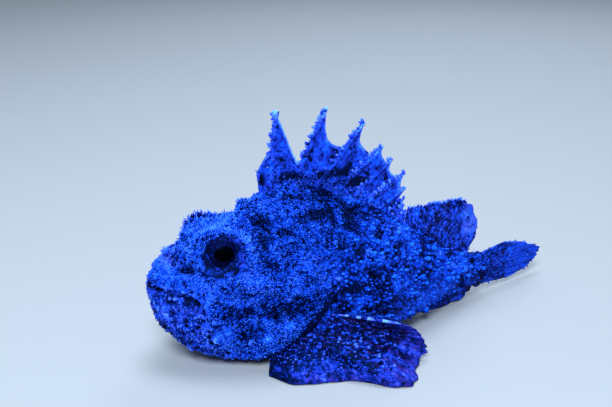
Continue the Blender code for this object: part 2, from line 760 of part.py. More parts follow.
def breast_fin(left, collection):
    roots = root_line(BREAST_ROOT_TOP, BREAST_ROOT_LOW, BREAST_RAYS, 0.022)
    name = "breast_fin_" + ("left" if left else "right")
    thickness = (6.0, 1.9, 0.9, 0.6)
    return side_fan(roots, BREAST_TIPS, 8, thickness, left, name, collection)


def belly_fin(left, collection):
    roots = root_line(BELLY_ROOT[0], BELLY_ROOT[1], BELLY_RAYS, 0.016)
    name = "belly_fin_" + ("left" if left else "right")
    thickness = (3.2, 1.9, 1.0, 0.7)
    return side_fan(roots, BELLY_TIPS, 6, thickness, left, name, collection)


def paint(target, colour, roughness):
    material = bpy.data.materials.new(target.name)
    material.use_nodes = True
    surface = material.node_tree.nodes["Principled BSDF"]
    surface.inputs["Base Color"].default_value = (*COLOURS[colour], 1)
    surface.inputs["Roughness"].default_value = roughness
    target.data.materials.clear()
    target.data.materials.append(material)


def finish(target, colour, roughness):
    """Cleans a piece, gives it its curve and its place, and its colour."""
    keep_largest(target)
    points = np.empty(len(target.data.vertices) * 3)
    target.data.vertices.foreach_get("co", points)
    target.data.vertices.foreach_set("co", to_pose(points.reshape(-1, 3)).ravel())
    target.data.update()
    target.data.shade_smooth()
    target.data.set_sharp_from_angle(angle=math.radians(50))
    paint(target, colour, roughness)


def centre_on_floor(pieces):
    """Moves all the pieces so that the middle of their box is over the origin."""
    boxes = np.concatenate([[vertex.co for vertex in piece.data.vertices] for piece in pieces])
    shift = -(boxes.min(0) + boxes.max(0)) / 2
    for piece in pieces:
        for vertex in piece.data.vertices:
            vertex.co.x += shift[0]
            vertex.co.y += shift[1]


def build():
    for old in list(bpy.data.objects):
        bpy.data.objects.remove(old)
    fish = bpy.data.collections.new("scorpionfish")
    cutters = bpy.data.collections.new("cutters")
    joined = bpy.data.collections.new("joined")
    pits = bpy.data.collections.new("pits")
    for collection in (fish, cutters, joined, pits):
        bpy.context.scene.collection.children.link(collection)
    gap = GAP / STANDARD_LENGTH
    front = front_block("front", 0, cutters)
    front_grown = front_block("front_grown", gap, cutters)
    jaw_cut = jaw_block("jaw_cut", 0, cutters)
    jaw_grown = jaw_block("jaw_grown", gap, cutters)
    tail_cut = back_block("tail_cut", TAIL_START + gap / 2, cutters)
    trunk_cut = back_block("trunk_cut", TAIL_START - gap / 2, cutters)
    whole = body_shell("whole", 1.2 * gap, cutters)

    head = combine(body_shell("head", 0, fish), front, "INTERSECT")
    combine(head, jaw_grown, "DIFFERENCE")
    lip("upper_lip", True, joined)
    growths(HEAD_TASSELS, TASSEL_FLATNESS, TASSEL_TIP, joined)
    growths(HEAD_SPINES, SPINE_FLATNESS, SPINE_TIP, joined)
    nostrils(joined, pits)
    combine(head, joined, "UNION")
    combine(head, pits, "DIFFERENCE")
    jaw = combine(body_shell("lower_jaw", 0, fish), jaw_cut, "INTERSECT")
    lip("lower_lip", False, joined)
    growths(JAW_TASSELS, TASSEL_FLATNESS, TASSEL_TIP, joined)
    combine(jaw, joined, "UNION")
    trunk = combine(body_shell("trunk", 0, fish), front_grown, "DIFFERENCE")
    combine(trunk, trunk_cut, "DIFFERENCE")
    flank_tassels(joined)
    combine(trunk, joined, "UNION")
    tail = combine(body_shell("tail", 0, fish), tail_cut, "INTERSECT")

    eyes = []
    for side, sign in (("left", -1), ("right", 1)):
        centre = np.array(EYE_CENTRE) * (1, sign, 1)
        socket = ball("socket_" + side, centre, EYE_RADIUS + gap, cutters)
        combine(head, socket, "DIFFERENCE")
        eyes.append(ball("eye_" + side, centre, EYE_RADIUS, fish))

    fins = [spiny_fin(fish), soft_fin(fish), anal_fin(fish), tail_fin(fish)]
    for left in (True, False):
        fins += [breast_fin(left, fish), belly_fin(left, fish)]
    for fin in fins:
        combine(fin, whole, "DIFFERENCE")

    for piece in (head, jaw, trunk, tail):
        finish(piece, "skin", 0.6)
    for eye in eyes:
        finish(eye, "eye", 0.1)
    for fin in fins:
        finish(fin, "web", 0.5)
    for cutter in list(cutters.objects):
        bpy.data.objects.remove(cutter)
    for collection in (joined, pits, cutters):
        bpy.data.collections.remove(collection)
    centre_on_floor([head, jaw, trunk, tail, *eyes, *fins])


if __name__ == "__main__":
    build()
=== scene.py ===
"""The looks of a humpback scorpionfish at life size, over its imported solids.

The fish is shaped straight, in shares of its standard length, as its solids are: the first
coordinate runs from the tip of the lower jaw to the tail, the second is negative on the fish's
left side, and the third is the height above the floor. posed() turns shares into metres, gives
the body its sideways curve and puts it where the solids are.
"""

import json
import math

import bmesh
import bpy
import numpy as np
from bpy.props import FloatProperty, FloatVectorProperty, PointerProperty
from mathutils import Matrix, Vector, noise

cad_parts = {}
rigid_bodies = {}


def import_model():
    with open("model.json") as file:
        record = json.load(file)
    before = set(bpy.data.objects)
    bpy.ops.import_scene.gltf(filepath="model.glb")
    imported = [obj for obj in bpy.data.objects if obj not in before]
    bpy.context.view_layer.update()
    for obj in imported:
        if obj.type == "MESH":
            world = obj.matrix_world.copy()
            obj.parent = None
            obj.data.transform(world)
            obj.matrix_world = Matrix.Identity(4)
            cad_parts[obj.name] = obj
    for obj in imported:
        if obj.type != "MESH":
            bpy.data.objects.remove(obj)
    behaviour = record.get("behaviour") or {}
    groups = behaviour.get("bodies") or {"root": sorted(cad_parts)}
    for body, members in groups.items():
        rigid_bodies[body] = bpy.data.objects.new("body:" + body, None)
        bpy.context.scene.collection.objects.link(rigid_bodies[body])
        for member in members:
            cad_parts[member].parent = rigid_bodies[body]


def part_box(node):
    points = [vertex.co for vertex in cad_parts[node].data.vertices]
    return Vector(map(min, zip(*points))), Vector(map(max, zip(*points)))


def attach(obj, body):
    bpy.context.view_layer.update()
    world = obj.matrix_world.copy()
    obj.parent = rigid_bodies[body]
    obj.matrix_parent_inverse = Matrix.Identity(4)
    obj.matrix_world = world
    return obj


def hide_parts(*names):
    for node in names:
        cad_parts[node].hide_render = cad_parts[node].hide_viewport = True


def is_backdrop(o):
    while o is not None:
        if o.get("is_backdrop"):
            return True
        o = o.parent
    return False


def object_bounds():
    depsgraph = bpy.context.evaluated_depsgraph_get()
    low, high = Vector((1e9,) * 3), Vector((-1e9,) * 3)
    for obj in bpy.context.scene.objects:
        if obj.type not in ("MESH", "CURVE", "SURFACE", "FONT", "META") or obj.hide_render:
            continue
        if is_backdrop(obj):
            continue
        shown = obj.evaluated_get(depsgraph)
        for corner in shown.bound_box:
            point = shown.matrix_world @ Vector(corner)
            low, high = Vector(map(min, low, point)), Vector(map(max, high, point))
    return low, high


bl_info = {
    "name": "Humpback Scorpionfish",
    "version": (1, 0, 0),
    "blender": (4, 5, 0),
    "location": "View3D > Sidebar > Scorpionfish",
    "description": "Skin, cirri, eyes and fins of a resting scorpionfish over its solids",
    "category": "Add Mesh",
}

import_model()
CAD_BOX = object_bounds()

# Driving dimensions, which the solids share, and a millimetre in shares
STANDARD_LENGTH = 0.190
MM = 0.001 / STANDARD_LENGTH
HEAD_YAW = math.radians(-10.0)
TAIL_YAW = math.radians(14.0)
BEND_START, BEND_END = 0.30, 0.95
JAW_TIP = 0.020

# The body's plain sections: place, top, bottom, half width, height of the widest point
SECTIONS = (
    (0.020, 0.197, 0.197, 0.000, 0.197),
    (0.025, 0.224, 0.164, 0.031, 0.197),
    (0.038, 0.250, 0.122, 0.052, 0.187),
    (0.066, 0.282, 0.078, 0.075, 0.172),
    (0.110, 0.314, 0.038, 0.100, 0.158),
    (0.170, 0.344, 0.010, 0.126, 0.150),
    (0.215, 0.362, -0.002, 0.137, 0.152),
    (0.260, 0.396, -0.005, 0.145, 0.156),
    (0.320, 0.428, -0.007, 0.151, 0.164),
    (0.390, 0.439, -0.008, 0.153, 0.170),
    (0.480, 0.416, -0.006, 0.146, 0.170),
    (0.590, 0.362, 0.000, 0.122, 0.160),
    (0.700, 0.290, 0.014, 0.085, 0.144),
    (0.810, 0.210, 0.038, 0.052, 0.120),
    (0.910, 0.156, 0.046, 0.032, 0.100),
    (1.000, 0.134, 0.026, 0.020, 0.080),
)
LOW_POWER = 2.3

# Swellings and hollows of the body: place, reach along the three axes, height along the normal
FORMS = (
    ("brow", (0.145, 0.070, 0.330), (0.034, 0.036, 0.036), 0.024),
    ("brow_hollow", (0.175, 0.000, 0.350), (0.070, 0.028, 0.060), -0.014),
    ("saddle", (0.224, 0.072, 0.368), (0.024, 0.050, 0.024), -0.040),
    ("crown", (0.270, 0.050, 0.392), (0.020, 0.030, 0.030), 0.002),
    ("crown_pit", (0.284, 0.088, 0.372), (0.026, 0.026, 0.030), -0.026),
    ("nape_front", (0.294, 0.050, 0.410), (0.030, 0.040, 0.030), -0.012),
    ("nape_pit", (0.422, 0.086, 0.375), (0.044, 0.032, 0.026), -0.012),
    ("snout", (0.040, 0.026, 0.262), (0.022, 0.026, 0.026), 0.008),
    ("nose", (0.078, 0.034, 0.292), (0.018, 0.018, 0.020), 0.007),
    ("cheek_front_hollow", (0.112, 0.086, 0.262), (0.030, 0.040, 0.020), -0.018),
    ("cheek_ridge", (0.250, 0.140, 0.232), (0.090, 0.060, 0.018), 0.013),
    ("upper_jaw", (0.090, 0.100, 0.190), (0.050, 0.060, 0.020), 0.012),
    ("cheek_hollow", (0.260, 0.150, 0.130), (0.040, 0.060, 0.030), -0.008),
    ("gill_cover_edge", (0.335, 0.150, 0.120), (0.018, 0.060, 0.060), 0.010),
    ("gill_cover", (0.400, 0.150, 0.225), (0.040, 0.080, 0.050), 0.012),
    ("shoulder_hollow", (0.490, 0.140, 0.190), (0.028, 0.080, 0.100), -0.012),
)

# The eye
EYE_CENTRE = (0.195, 0.058, 0.302)
EYE_RADIUS = 0.046
EYE_AXIS = (0.04, 1.0, 0.16)
PUPIL_OVAL = 0.78
EYE_FIT, CORNEA_RISE = 0.985, 0.045
ORBIT_CENTRE = (0.195, 0.100, 0.302)
ORBIT_RADIUS = 0.054
ORBIT_RIM = 0.014
ORBIT_RIM_WIDTH = 0.016
ORBIT_DEPTH = 0.020

# Lines of the head, seen from the side
MOUTH_LINE = ((-0.050, 0.218), (0.020, 0.215), (0.072, 0.213), (0.116, 0.206), (0.139, 0.180),
              (0.147, 0.148))
JAW_BACK = ((0.172, 0.100), (0.202, 0.050), (0.220, 0.000), (0.224, -0.050))
GILL_LINE = ((0.290, 0.600), (0.300, 0.450), (0.345, 0.390), (0.410, 0.318), (0.452, 0.255),
             (0.446, 0.200), (0.411, 0.143), (0.371, 0.088), (0.327, 0.037), (0.275, -0.010),
             (0.250, -0.100))
# Steps of a smooth line between two of its corners
LINE_STEPS = 3

# Patches of paler or darker skin on both sides: place, height, reach along and up, how pale
PATCHES = (
    ("chin_disc", (0.166, 0.092), (0.017, 0.017), 1.0),
    ("cheek_disc", (0.198, 0.114), (0.011, 0.013), 0.8),
    ("gill_disc", (0.292, 0.089), (0.016, 0.014), 0.9),
    ("shelf_under_eye", (0.219, 0.257), (0.036, 0.008), 0.6),
    ("rim_behind_eye", (0.250, 0.327), (0.008, 0.024), 0.8),
    ("brow_over_eye", (0.200, 0.340), (0.036, 0.009), 0.5),
    ("cheek_spine_fleck", (0.345, 0.216), (0.020, 0.007), 0.8),
    ("cheek_fleck", (0.276, 0.171), (0.008, 0.006), 0.8),
    ("flank_pale", (0.475, 0.330), (0.020, 0.014), 0.6),
    ("back_pale", (0.690, 0.262), (0.024, 0.024), 0.7),
    ("tail_pale", (0.850, 0.130), (0.060, 0.035), 0.7),
    # Painted shade: the darker patches below for the pits, hollows, crease and lower cheek
    ("crown_pit", (0.292, 0.368), (0.026, 0.020), -1.2),
    ("nape_pit", (0.420, 0.374), (0.042, 0.014), -1.3),
    ("middle_pit_shade", (0.340, 0.352), (0.018, 0.010), -0.9),
    ("low_pit_shade", (0.279, 0.338), (0.020, 0.008), -0.7),
    ("snout_hollow_shade", (0.110, 0.261), (0.022, 0.008), -1.0),
    ("mouth_corner_hollow_shade", (0.112, 0.198), (0.021, 0.015), -1.2),
    ("gill_hollow_shade", (0.356, 0.192), (0.026, 0.015), -1.1),
    ("cheek_low", (0.212, 0.166), (0.046, 0.018), -1.2),
    ("cheek_low_back", (0.305, 0.166), (0.050, 0.016), -1.1),
    ("cheek_crease_shade", (0.247, 0.214), (0.024, 0.005), -0.5),
    ("cheek_bottom_shade", (0.250, 0.116), (0.034, 0.018), -0.7),
    ("cheek_bright", (0.346, 0.126), (0.020, 0.018), 0.8),
    ("low_cheek_shade", (0.236, 0.086), (0.028, 0.018), -0.6),
    ("orbit_streak", (0.188, 0.272), (0.016, 0.005), 0.6),
    ("cheek_front_bright", (0.150, 0.232), (0.050, 0.022), 0.5),
    ("cheek_bright_middle", (0.262, 0.254), (0.042, 0.020), 0.6),
    ("cheek_dim_top", (0.320, 0.300), (0.050, 0.030), -0.2),
    ("snout_bright", (0.050, 0.262), (0.040, 0.030), 0.5),
    ("nape_dim", (0.400, 0.430), (0.080, 0.030), -0.35),
    ("back_dark", (0.600, 0.392), (0.090, 0.045), -0.55),
    ("shoulder_dark", (0.500, 0.300), (0.040, 0.050), -0.5),
    ("flank_dark", (0.640, 0.120), (0.080, 0.030), -0.4),
)

# Skin tassels on each side: place, height on the flank, length, and where they point, as shares
# back, out and up
HEAD_TASSELS = (
    (0.172, 0.352, 0.016, (-0.2, 0.5, 1.0)),
    (0.196, 0.356, 0.015, (0.3, 0.7, 1.0)),
    (0.070, 0.288, 0.020, (-0.6, 0.3, 1.0)),
    (0.052, 0.232, 0.014, (-0.8, 0.6, 0.1)),
    (0.104, 0.222, 0.016, (-0.2, 0.9, -0.6)),
    (0.160, 0.150, 0.018, (0.2, 0.9, -0.8)),
    (0.200, 0.108, 0.016, (0.3, 0.9, -0.7)),
    (0.248, 0.088, 0.018, (0.3, 0.9, -0.7)),
    (0.298, 0.092, 0.016, (0.6, 0.9, -0.6)),
    (0.340, 0.128, 0.016, (0.8, 0.8, -0.4)),
    (0.048, 0.150, 0.016, (-0.7, 0.7, -0.5)),
    (0.078, 0.112, 0.016, (-0.3, 0.8, -0.7)),
    (0.116, 0.080, 0.016, (-0.1, 0.9, -0.7)),
    (0.146, 0.052, 0.014, (0.0, 1.0, -0.4)),
)
# Bony spines of the head, the same way, with their width after their length
HEAD_SPINES = (
    (0.190, 0.238, 0.022, 0.016, (1.0, 0.35, 0.10)),
    (0.236, 0.234, 0.022, 0.016, (1.0, 0.35, 0.05)),
    (0.284, 0.230, 0.024, 0.016, (1.0, 0.35, 0.00)),
    (0.318, 0.200, 0.030, 0.018, (1.0, 0.45, -0.10)),
    (0.322, 0.160, 0.022, 0.016, (1.0, 0.40, -0.45)),
    (0.262, 0.384, 0.018, 0.013, (1.0, 0.20, 0.45)),
    (0.290, 0.404, 0.018, 0.013, (1.0, 0.10, 0.45)),
    (0.402, 0.286, 0.026, 0.016, (1.0, 0.25, 0.10)),
    (0.398, 0.246, 0.026, 0.016, (1.0, 0.25, -0.05)),
)
# A row of tassels along the flank, from one place and height to another
FLANK_TASSELS = 12
FLANK_LINE = ((0.455, 0.315), (0.900, 0.112))
# Ridges and grooves beside the lines of the mouth and gill cover and round the eye: height, how far
# from the line, width. The mouth's corner: place and height, reach, depth
UPPER_LIP = (0.0040, 0.0110, 0.0080)
LOWER_LIP = (0.0065, -0.0130, 0.0105)
MOUTH_SLIT = (-0.0170, 0.0, 0.0036)
MOUTH_CORNER = (0.112, 0.194), (0.018, 0.011), 0.0060
GILL_GROOVE = (-0.009, 0.0135, 0.0050)
EYELID = (0.0050, EYE_RADIUS + 0.0060, 0.0055)
# Nostrils: place, height, radius
NOSTRILS = ((0.086, 0.276, 0.0075), (0.128, 0.296, 0.0060))

# Spines of the first back fin: place of the root, length, lean back from upright in degrees
BACK_SPINES = (
    (0.314, 0.054, -14.0),
    (0.332, 0.192, 5.0),
    (0.385, 0.206, 27.0),
    (0.440, 0.200, 43.0),
    (0.490, 0.172, 56.0),
    (0.533, 0.154, 61.0),
    (0.572, 0.140, 67.0),
    (0.606, 0.106, 71.0),
    (0.638, 0.074, 74.0),
    (0.660, 0.052, 66.0),
    (0.679, 0.038, 60.0),
    (0.694, 0.026, 42.0),
)
# How far the web between two spines reaches at the second one, and how fast it drops to that
WEB_NOTCHES = (0.52, 0.33, 0.64, 0.80, 0.89, 0.84, 0.80, 0.78, 0.78, 0.80, 0.80)
WEB_POWERS = (1.0, 1.7, 4.3, 6.0, 6.0, 5.0, 2.6, 2.6, 2.6, 2.6, 2.6)
# How pale the margins of the first webs are, the last for all that follow
WEB_MARGINS = (0.20, 0.60, 0.30, 0.35)
# The number of the spine that has a bulb at its tip
BULBOUS_SPINE = 1
# Dark spots on the webs, and hollows at the fin's base that painted shade darkens, with their reach
WEB_SPOTS = ((0.418, 0.506), (0.438, 0.518), (0.436, 0.494), (0.492, 0.498), (0.512, 0.524),
             (0.542, 0.470), (0.518, 0.452), (0.586, 0.500), (0.590, 0.442), (0.570, 0.432),
             (0.616, 0.452), (0.648, 0.420), (0.362, 0.500))
WEB_SHADED_HOLLOWS = (((0.380, 0.456), (0.030, 0.013)), ((0.505, 0.452), (0.055, 0.014)),
               ((0.548, 0.424), (0.045, 0.013)), ((0.312, 0.452), (0.008, 0.014)))

# Rays of the second back fin and of the fin under the tail: root, length, lean
SOFT_RAYS = (
    (0.708, 0.044, 15.0),
    (0.728, 0.064, 31.0),
    (0.747, 0.085, 33.0),
    (0.766, 0.104, 36.0),
    (0.785, 0.127, 41.0),
    (0.805, 0.147, 47.5),
    (0.823, 0.161, 59.5),
    (0.840, 0.151, 75.0),
    (0.856, 0.122, 91.0),
    (0.870, 0.090, 114.0),
)
ANAL_RAYS = (
    (0.735, 0.060, 112.0),
    (0.752, 0.092, 108.0),
    (0.770, 0.118, 106.0),
    (0.788, 0.140, 103.0),
    (0.806, 0.148, 100.0),
    (0.824, 0.148, 97.0),
    (0.842, 0.134, 94.0),
)
TAIL_RAYS = 13
TAIL_ROOT = (0.985, 0.036, 0.124)
TAIL_TIPS = ((0.00, 1.110, 0.136), (0.16, 1.165, 0.126), (0.42, 1.278, 0.078),
             (0.62, 1.262, 0.052), (0.84, 1.205, 0.026), (1.00, 1.140, 0.020))

# Breast fins: where the top ray and the lowest one are rooted, as place and height, and then for
# some rays: share of the way from the top ray to the lowest, where its tip is, its arch
BREAST_RAYS = 17
BREAST_ROOT = ((0.434, 0.138), (0.318, 0.030))
BREAST_TIPS = (
    (0.00, 0.565, 0.228, 0.130, 0.002),
    (0.20, 0.620, 0.212, 0.088, 0.012),
    (0.44, 0.650, 0.210, 0.018, 0.024),
    (0.52, 0.602, 0.246, 0.003, 0.027),
    (0.60, 0.572, 0.316, 0.003, 0.029),
    (0.68, 0.532, 0.306, 0.003, 0.028),
    (0.76, 0.470, 0.244, 0.003, 0.026),
    (0.86, 0.395, 0.230, 0.003, 0.023),
    (0.94, 0.330, 0.214, 0.003, 0.019),
    (1.00, 0.288, 0.160, 0.003, 0.014),
)
# Belly fins, the same way
BELLY_RAYS = 6
BELLY_ROOT = ((0.395, 0.030), (0.400, 0.012))
BELLY_TIPS = (
    (0.00, 0.500, 0.150, 0.003, 0.010),
    (0.50, 0.590, 0.128, 0.003, 0.010),
    (1.00, 0.590, 0.072, 0.003, 0.010),
)

# Parts of the coat: -1 is the left side and 1 the right, then where each starts and ends
COAT_PARTS = {
    part + side: (sign, start, end)
    for side, sign in (("_left", -1), ("_right", 1))
    for part, start, end in (
        ("snout", 0.0, 0.16), ("cheek", 0.16, 0.26), ("gill", 0.26, 0.38), ("nape", 0.38, 1.1),
    )
}
# Where lying cirri point about the straight body, and how much longer the brow's are
COAT_LIES = (1.0, 0.0, -0.2)
BROW_GROWTH = 1.75

# How finely places are looked up: along the curved body, and round its left side
BEND_STEPS = np.linspace(-0.5, 2.0, 1001)
SIDE_ANGLES = np.radians(np.linspace(-88, 88, 353))
TINY = 1e-12

# How finely skin, eyes and spines are built
SKIN_RINGS, SKIN_SIDES = 340, 276
SKIN_START = 0.0004
# Even steps along and round the body, from which the uneven rings and sides are picked
EVEN_ALONG, EVEN_ROUND = 6000, 2881
EYE_RINGS, EYE_SIDES = 40, 64
TUBE_SIDES = 12
SPINE_SHARES = np.linspace(0, 1, 34)
# The lowest that skin and fins come to the floor, in shares
SKIN_CLEARANCE, FIN_CLEARANCE = 0.0002, 0.0006
# The share of a ray's length over which its fleshy root thins out
FLESHY = 0.25

# Tufts made of fingers: sides of a finger, then for each tuft how thick its fingers are, and for
# each finger the height where it starts, its heading, its splay and its length
FINGER_TUFTS = {
    "cirri": (3, (
        (0.15, ((0, 0.3, 0.22, 1.0), (0, 2.4, 0.45, 0.85), (0.1, 4.4, 0.5, 0.7))),
        (0.17, ((0, 1.0, 0.15, 0.95), (0.15, 4.0, 0.5, 0.7))),
        (0.15, ((0, 5.0, 0.25, 0.9), (0, 1.9, 0.35, 1.0), (0.2, 3.4, 0.6, 0.6))),
        (0.17, ((0, 2.0, 0.30, 0.8), (0, 5.2, 0.22, 0.85))),
    )),
    "knobs": (5, (
        (0.30, ((0, 0.4, 0.2, 1.0), (0, 3.4, 0.7, 0.8))),
        (0.36, ((0, 2.0, 0.3, 0.9),)),
    )),
    "spiky": (3, (
        (0.085, ((0, 0.0, 0.15, 1.0), (0, 2.2, 0.4, 0.7))),
        (0.08, ((0, 1.0, 0.25, 0.9), (0, 3.9, 0.3, 0.8), (0.1, 5.6, 0.5, 0.5))),
    )),
}
# Along a finger: share of its length and of its thickness, and how far its tip bends outwards
FINGER_RINGS = ((0.0, 1.0), (0.42, 1.0), (0.78, 0.72))
FINGER_DROOP = 0.25
# Flaps: number of lobes, half width
FLAP_SHAPES = ((1, 0.30), (2, 0.36), (3, 0.42), (1, 0.24))
# The material of each kind of tuft
COAT_LOOKS = {"cirri": "cirri_look", "spiky": "cirri_look", "knobs": "knob_look",
              "flaps": "flap_look", "tassels": "flap_look"}
# Node groups, tufts and materials of the coat, once they are made
KIT = {}
# Inputs of the node groups that plant tufts
TREE_INPUTS = {
    "Geometry": "Geometry", "Tufts": "Collection", "Material": "Material", "Grow": "String",
    "Density": "Float", "Spacing": "Float", "Stand": "Float", "Spread": "Float", "Spin": "Float",
    "Vary": "Float", "Patch": "Float", "Seed": "Int",
}

# Finishes: how pale each shade of the panel is, the skin's faint shine, and the eye's two blacks
SHADE_STOPS = (0.0, 0.15, 0.44, 0.74, 1.0)
# The shine's blue tint is the same blue light, painted in
SHINE, SHINE_TINT = 0.10, (0.12, 0.45, 1.0)
IRIS_BLACK = (0.0003, 0.0022, 0.026)
PUPIL_BLACK = (0.0001, 0.0002, 0.001)

# The stage, in metres: lamps have a name, a place, a size and a share of the key light's power
FLOOR_HALF = 6.0
SKY_TINT = (0.92, 0.95, 1.0)
LAMPS = (
    ("key", (-0.50, -0.75, 0.95), 0.45, 1.0),
    ("top", (0.0, 0.10, 1.10), 0.50, 0.42),
    ("back", (0.6, 0.8, 0.8), 0.6, 0.22),
)
LIGHT_TARGET = (0, 0, 0.04)


def smooth_step(value, low, high):
    """From 0 at low to 1 at high, with soft ends. Low may be the higher number."""
    t = np.clip((value - low) / (high - low), 0, 1)
    return t * t * (3 - 2 * t)


def mound(value, width):
    """A rounded bump of height 1 about zero."""
    return np.exp(-((value / width) ** 2))


def smooth_curve(at, places, values):
    """A cubic through the points that doesn't overshoot them, read at the places given."""
    at, places, values = (np.asarray(list_, float) for list_ in (at, places, values))
    step = np.diff(places)
    slope = np.diff(values) / step
    tangent = np.concatenate([slope[:1], (slope[1:] + slope[:-1]) / 2, slope[-1:]])
    turns = slope[1:] * slope[:-1] <= 0
    tangent[1:-1][turns] = 0
    gentle = np.minimum(np.abs(np.append(slope, slope[-1])), np.abs(np.insert(slope, 0, slope[0])))
    tangent = np.sign(tangent) * np.minimum(np.abs(tangent), 3 * gentle)
    i = np.clip(np.searchsorted(places, at) - 1, 0, len(step) - 1)
    t = np.clip((at - places[i]) / step[i], 0, 1)
    return (
        (2 * t**3 - 3 * t**2 + 1) * values[i]
        + (t**3 - 2 * t**2 + t) * step[i] * tangent[i]
        + (3 * t**2 - 2 * t**3) * values[i + 1]
        + (t**3 - t**2) * step[i] * tangent[i + 1]
    )


def noisy(points, size, shift=0.0):
    """Smooth noise between about -1 and 1, whose features are about a size across."""
    flat = (points.reshape(-1, 3) / size + shift).tolist()
    return np.array([noise.noise(Vector(point)) for point in flat]).reshape(points.shape[:-1])


def section_at(place):
    """Top, bottom, half width and widest height there. The root of the place gives a blunt snout."""
    table = np.array(SECTIONS)
    blunt = np.sqrt(np.clip(place - JAW_TIP, 0, None))
    return [smooth_curve(blunt, np.sqrt(table[:, 0] - JAW_TIP), table[:, i]) for i in range(1, 5)]


def top_power(place):
    """How square the back is there: flat between the eyes, narrow along the hump."""
    return 2.0 + 0.5 * mound(place - 0.18, 0.09) - 0.35 * mound(place - 0.46, 0.14)


def plain_point(place, angle):
    """A point of the plain body: angle 0 is the left side and a quarter turn the back."""
    top, low, half, mid = section_at(place)
    across, upward = np.cos(angle), np.sin(angle)
    power = 2 / np.where(upward > 0, top_power(place), LOW_POWER)
    side = -half * np.sign(across) * np.abs(across) ** power
    rise = np.where(upward > 0, top - mid, mid - low)
    height = mid + rise * np.sign(upward) * np.abs(upward) ** power
    return np.stack(np.broadcast_arrays(place, side, height), -1)


def outward(place, angle):
    """The unit normal of the plain body."""
    near, turn = 0.004, 0.03
    ahead = np.maximum(place - near, JAW_TIP + SKIN_START / 2)
    along = plain_point(place + near, angle) - plain_point(ahead, angle)
    around = plain_point(place, angle + turn) - plain_point(place, angle - turn)
    normal = np.cross(along, around)
    return normal / np.maximum(np.linalg.norm(normal, axis=-1, keepdims=True), TINY)


def to_left(points):
    """The points, with those of the right side mirrored: the second coordinate is made positive."""
    return points * (1, 0, 1) + np.abs(points) * (0, 1, 0)


def swelling(point):
    """How far the forms of the head and body lift the plain surface at a point."""
    left = to_left(point)
    lift = np.zeros(point.shape[:-1])
    for _name, centre, reach, height in FORMS:
        away = (left - np.array(centre)) / np.array(reach)
        lift += height * np.exp(-(away**2).sum(-1))
    distance = np.linalg.norm(left - np.array(ORBIT_CENTRE), axis=-1)
    lift += ORBIT_RIM * mound(distance - ORBIT_RADIUS, ORBIT_RIM_WIDTH)
    lift -= ORBIT_DEPTH * np.exp(-((distance / (ORBIT_RADIUS * 0.72)) ** 4))
    return lift


def body_point(place, angle):
    """A point of the solids' body surface."""
    plain = plain_point(place, angle)
    fade = np.clip((place - JAW_TIP) / 0.02, 0, 1)
    point = plain + outward(place, angle) * (swelling(plain) * fade)[..., None]
    point[..., 2] = np.maximum(point[..., 2], 0)
    return point


def flank(place, height, left=True):
    """The point and the outward normal of the side of the body at that place and height."""
    points = body_point(np.full(SIDE_ANGLES.shape, float(place)), SIDE_ANGLES)
    order = np.argsort(points[:, 2], kind="stable")
    angle = np.interp(height, points[order, 2], SIDE_ANGLES[order])
    point = body_point(np.array([float(place)]), np.array([angle]))[0]
    normal = outward(np.array([float(place)]), np.array([angle]))[0]
    mirror = np.array([1.0, 1.0 if left else -1.0, 1.0])
    return point * mirror, normal * mirror


def middle_height(place, angle):
    """The height of the back's middle line, or of the belly's, at a quarter turn either way."""
    place = np.asarray(place, float)
    return body_point(place, np.full(place.shape, angle))[..., 2]


def yaw_at(place):
    """How far the body's middle line is turned there."""
    blend = np.clip((place - BEND_START) / (BEND_END - BEND_START), 0, 1)
    return HEAD_YAW + (TAIL_YAW - HEAD_YAW) * blend**2 * (3 - 2 * blend)


def bent(points):
    """Points in shares along the straight body, to metres along the curved one."""
    points = np.asarray(points, float)
    yaw = yaw_at(BEND_STEPS)
    step = BEND_STEPS[1] - BEND_STEPS[0]
    middle_x = np.cumsum(np.cos(yaw)) * step
    middle_y = np.cumsum(np.sin(yaw)) * step
    place, side, height = points.reshape(-1, 3).T
    turn = np.interp(place, BEND_STEPS, yaw)
    x = np.interp(place, BEND_STEPS, middle_x) - side * np.sin(turn)
    y = np.interp(place, BEND_STEPS, middle_y) + side * np.cos(turn)
    return (np.stack([x, y, height], -1) * STANDARD_LENGTH).reshape(points.shape)


def solids_shift():
    """How far the solids were moved to stand over the origin, from where their left eye is."""
    low, high = (np.array(corner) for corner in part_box("eye_left"))
    shift = (low + high) / 2 - bent(np.array(EYE_CENTRE) * (1, -1, 1))
    return shift * (1, 1, 0)


SHIFT = solids_shift()


def posed(points):
    """Points in shares, to where they are on the solids, in metres."""
    return bent(points) + SHIFT


def turned(directions, places):
    """Directions about the straight body, turned as the body is at those places."""
    yaw = yaw_at(np.asarray(places, float))
    x, y, z = np.moveaxis(np.asarray(directions, float), -1, 0)
    return np.stack([x * np.cos(yaw) - y * np.sin(yaw), x * np.sin(yaw) + y * np.cos(yaw), z], -1)


def side_curve(corners):
    """Points on a smooth line through corners given as (place, height)."""
    corners = np.array(corners)
    number = np.arange(len(corners))
    at = np.linspace(0, len(corners) - 1, (len(corners) - 1) * LINE_STEPS + 1)
    return np.stack([smooth_curve(at, number, corners[:, i]) for i in (0, 1)], -1)


def line_distance(points, corners):
    """The distance to a line in the side view, positive on its left, and the share along it."""
    line = side_curve(corners)
    flat = points[..., (0, 2)]
    best = np.full(flat.shape[:-1], np.inf)
    side = np.ones(flat.shape[:-1])
    share = np.zeros(flat.shape[:-1])
    for i, (start, end) in enumerate(zip(line, line[1:])):
        run = end - start
        t = np.clip((flat - start) @ run / (run @ run), 0, 1)
        away = flat - start - t[..., None] * run
        distance = np.linalg.norm(away, axis=-1)
        nearer = distance < best
        best = np.where(nearer, distance, best)
        side = np.where(nearer, np.sign(run[0] * away[..., 1] - run[1] * away[..., 0]), side)
        share = np.where(nearer, (i + t) / (len(line) - 1), share)
    return best * side, share


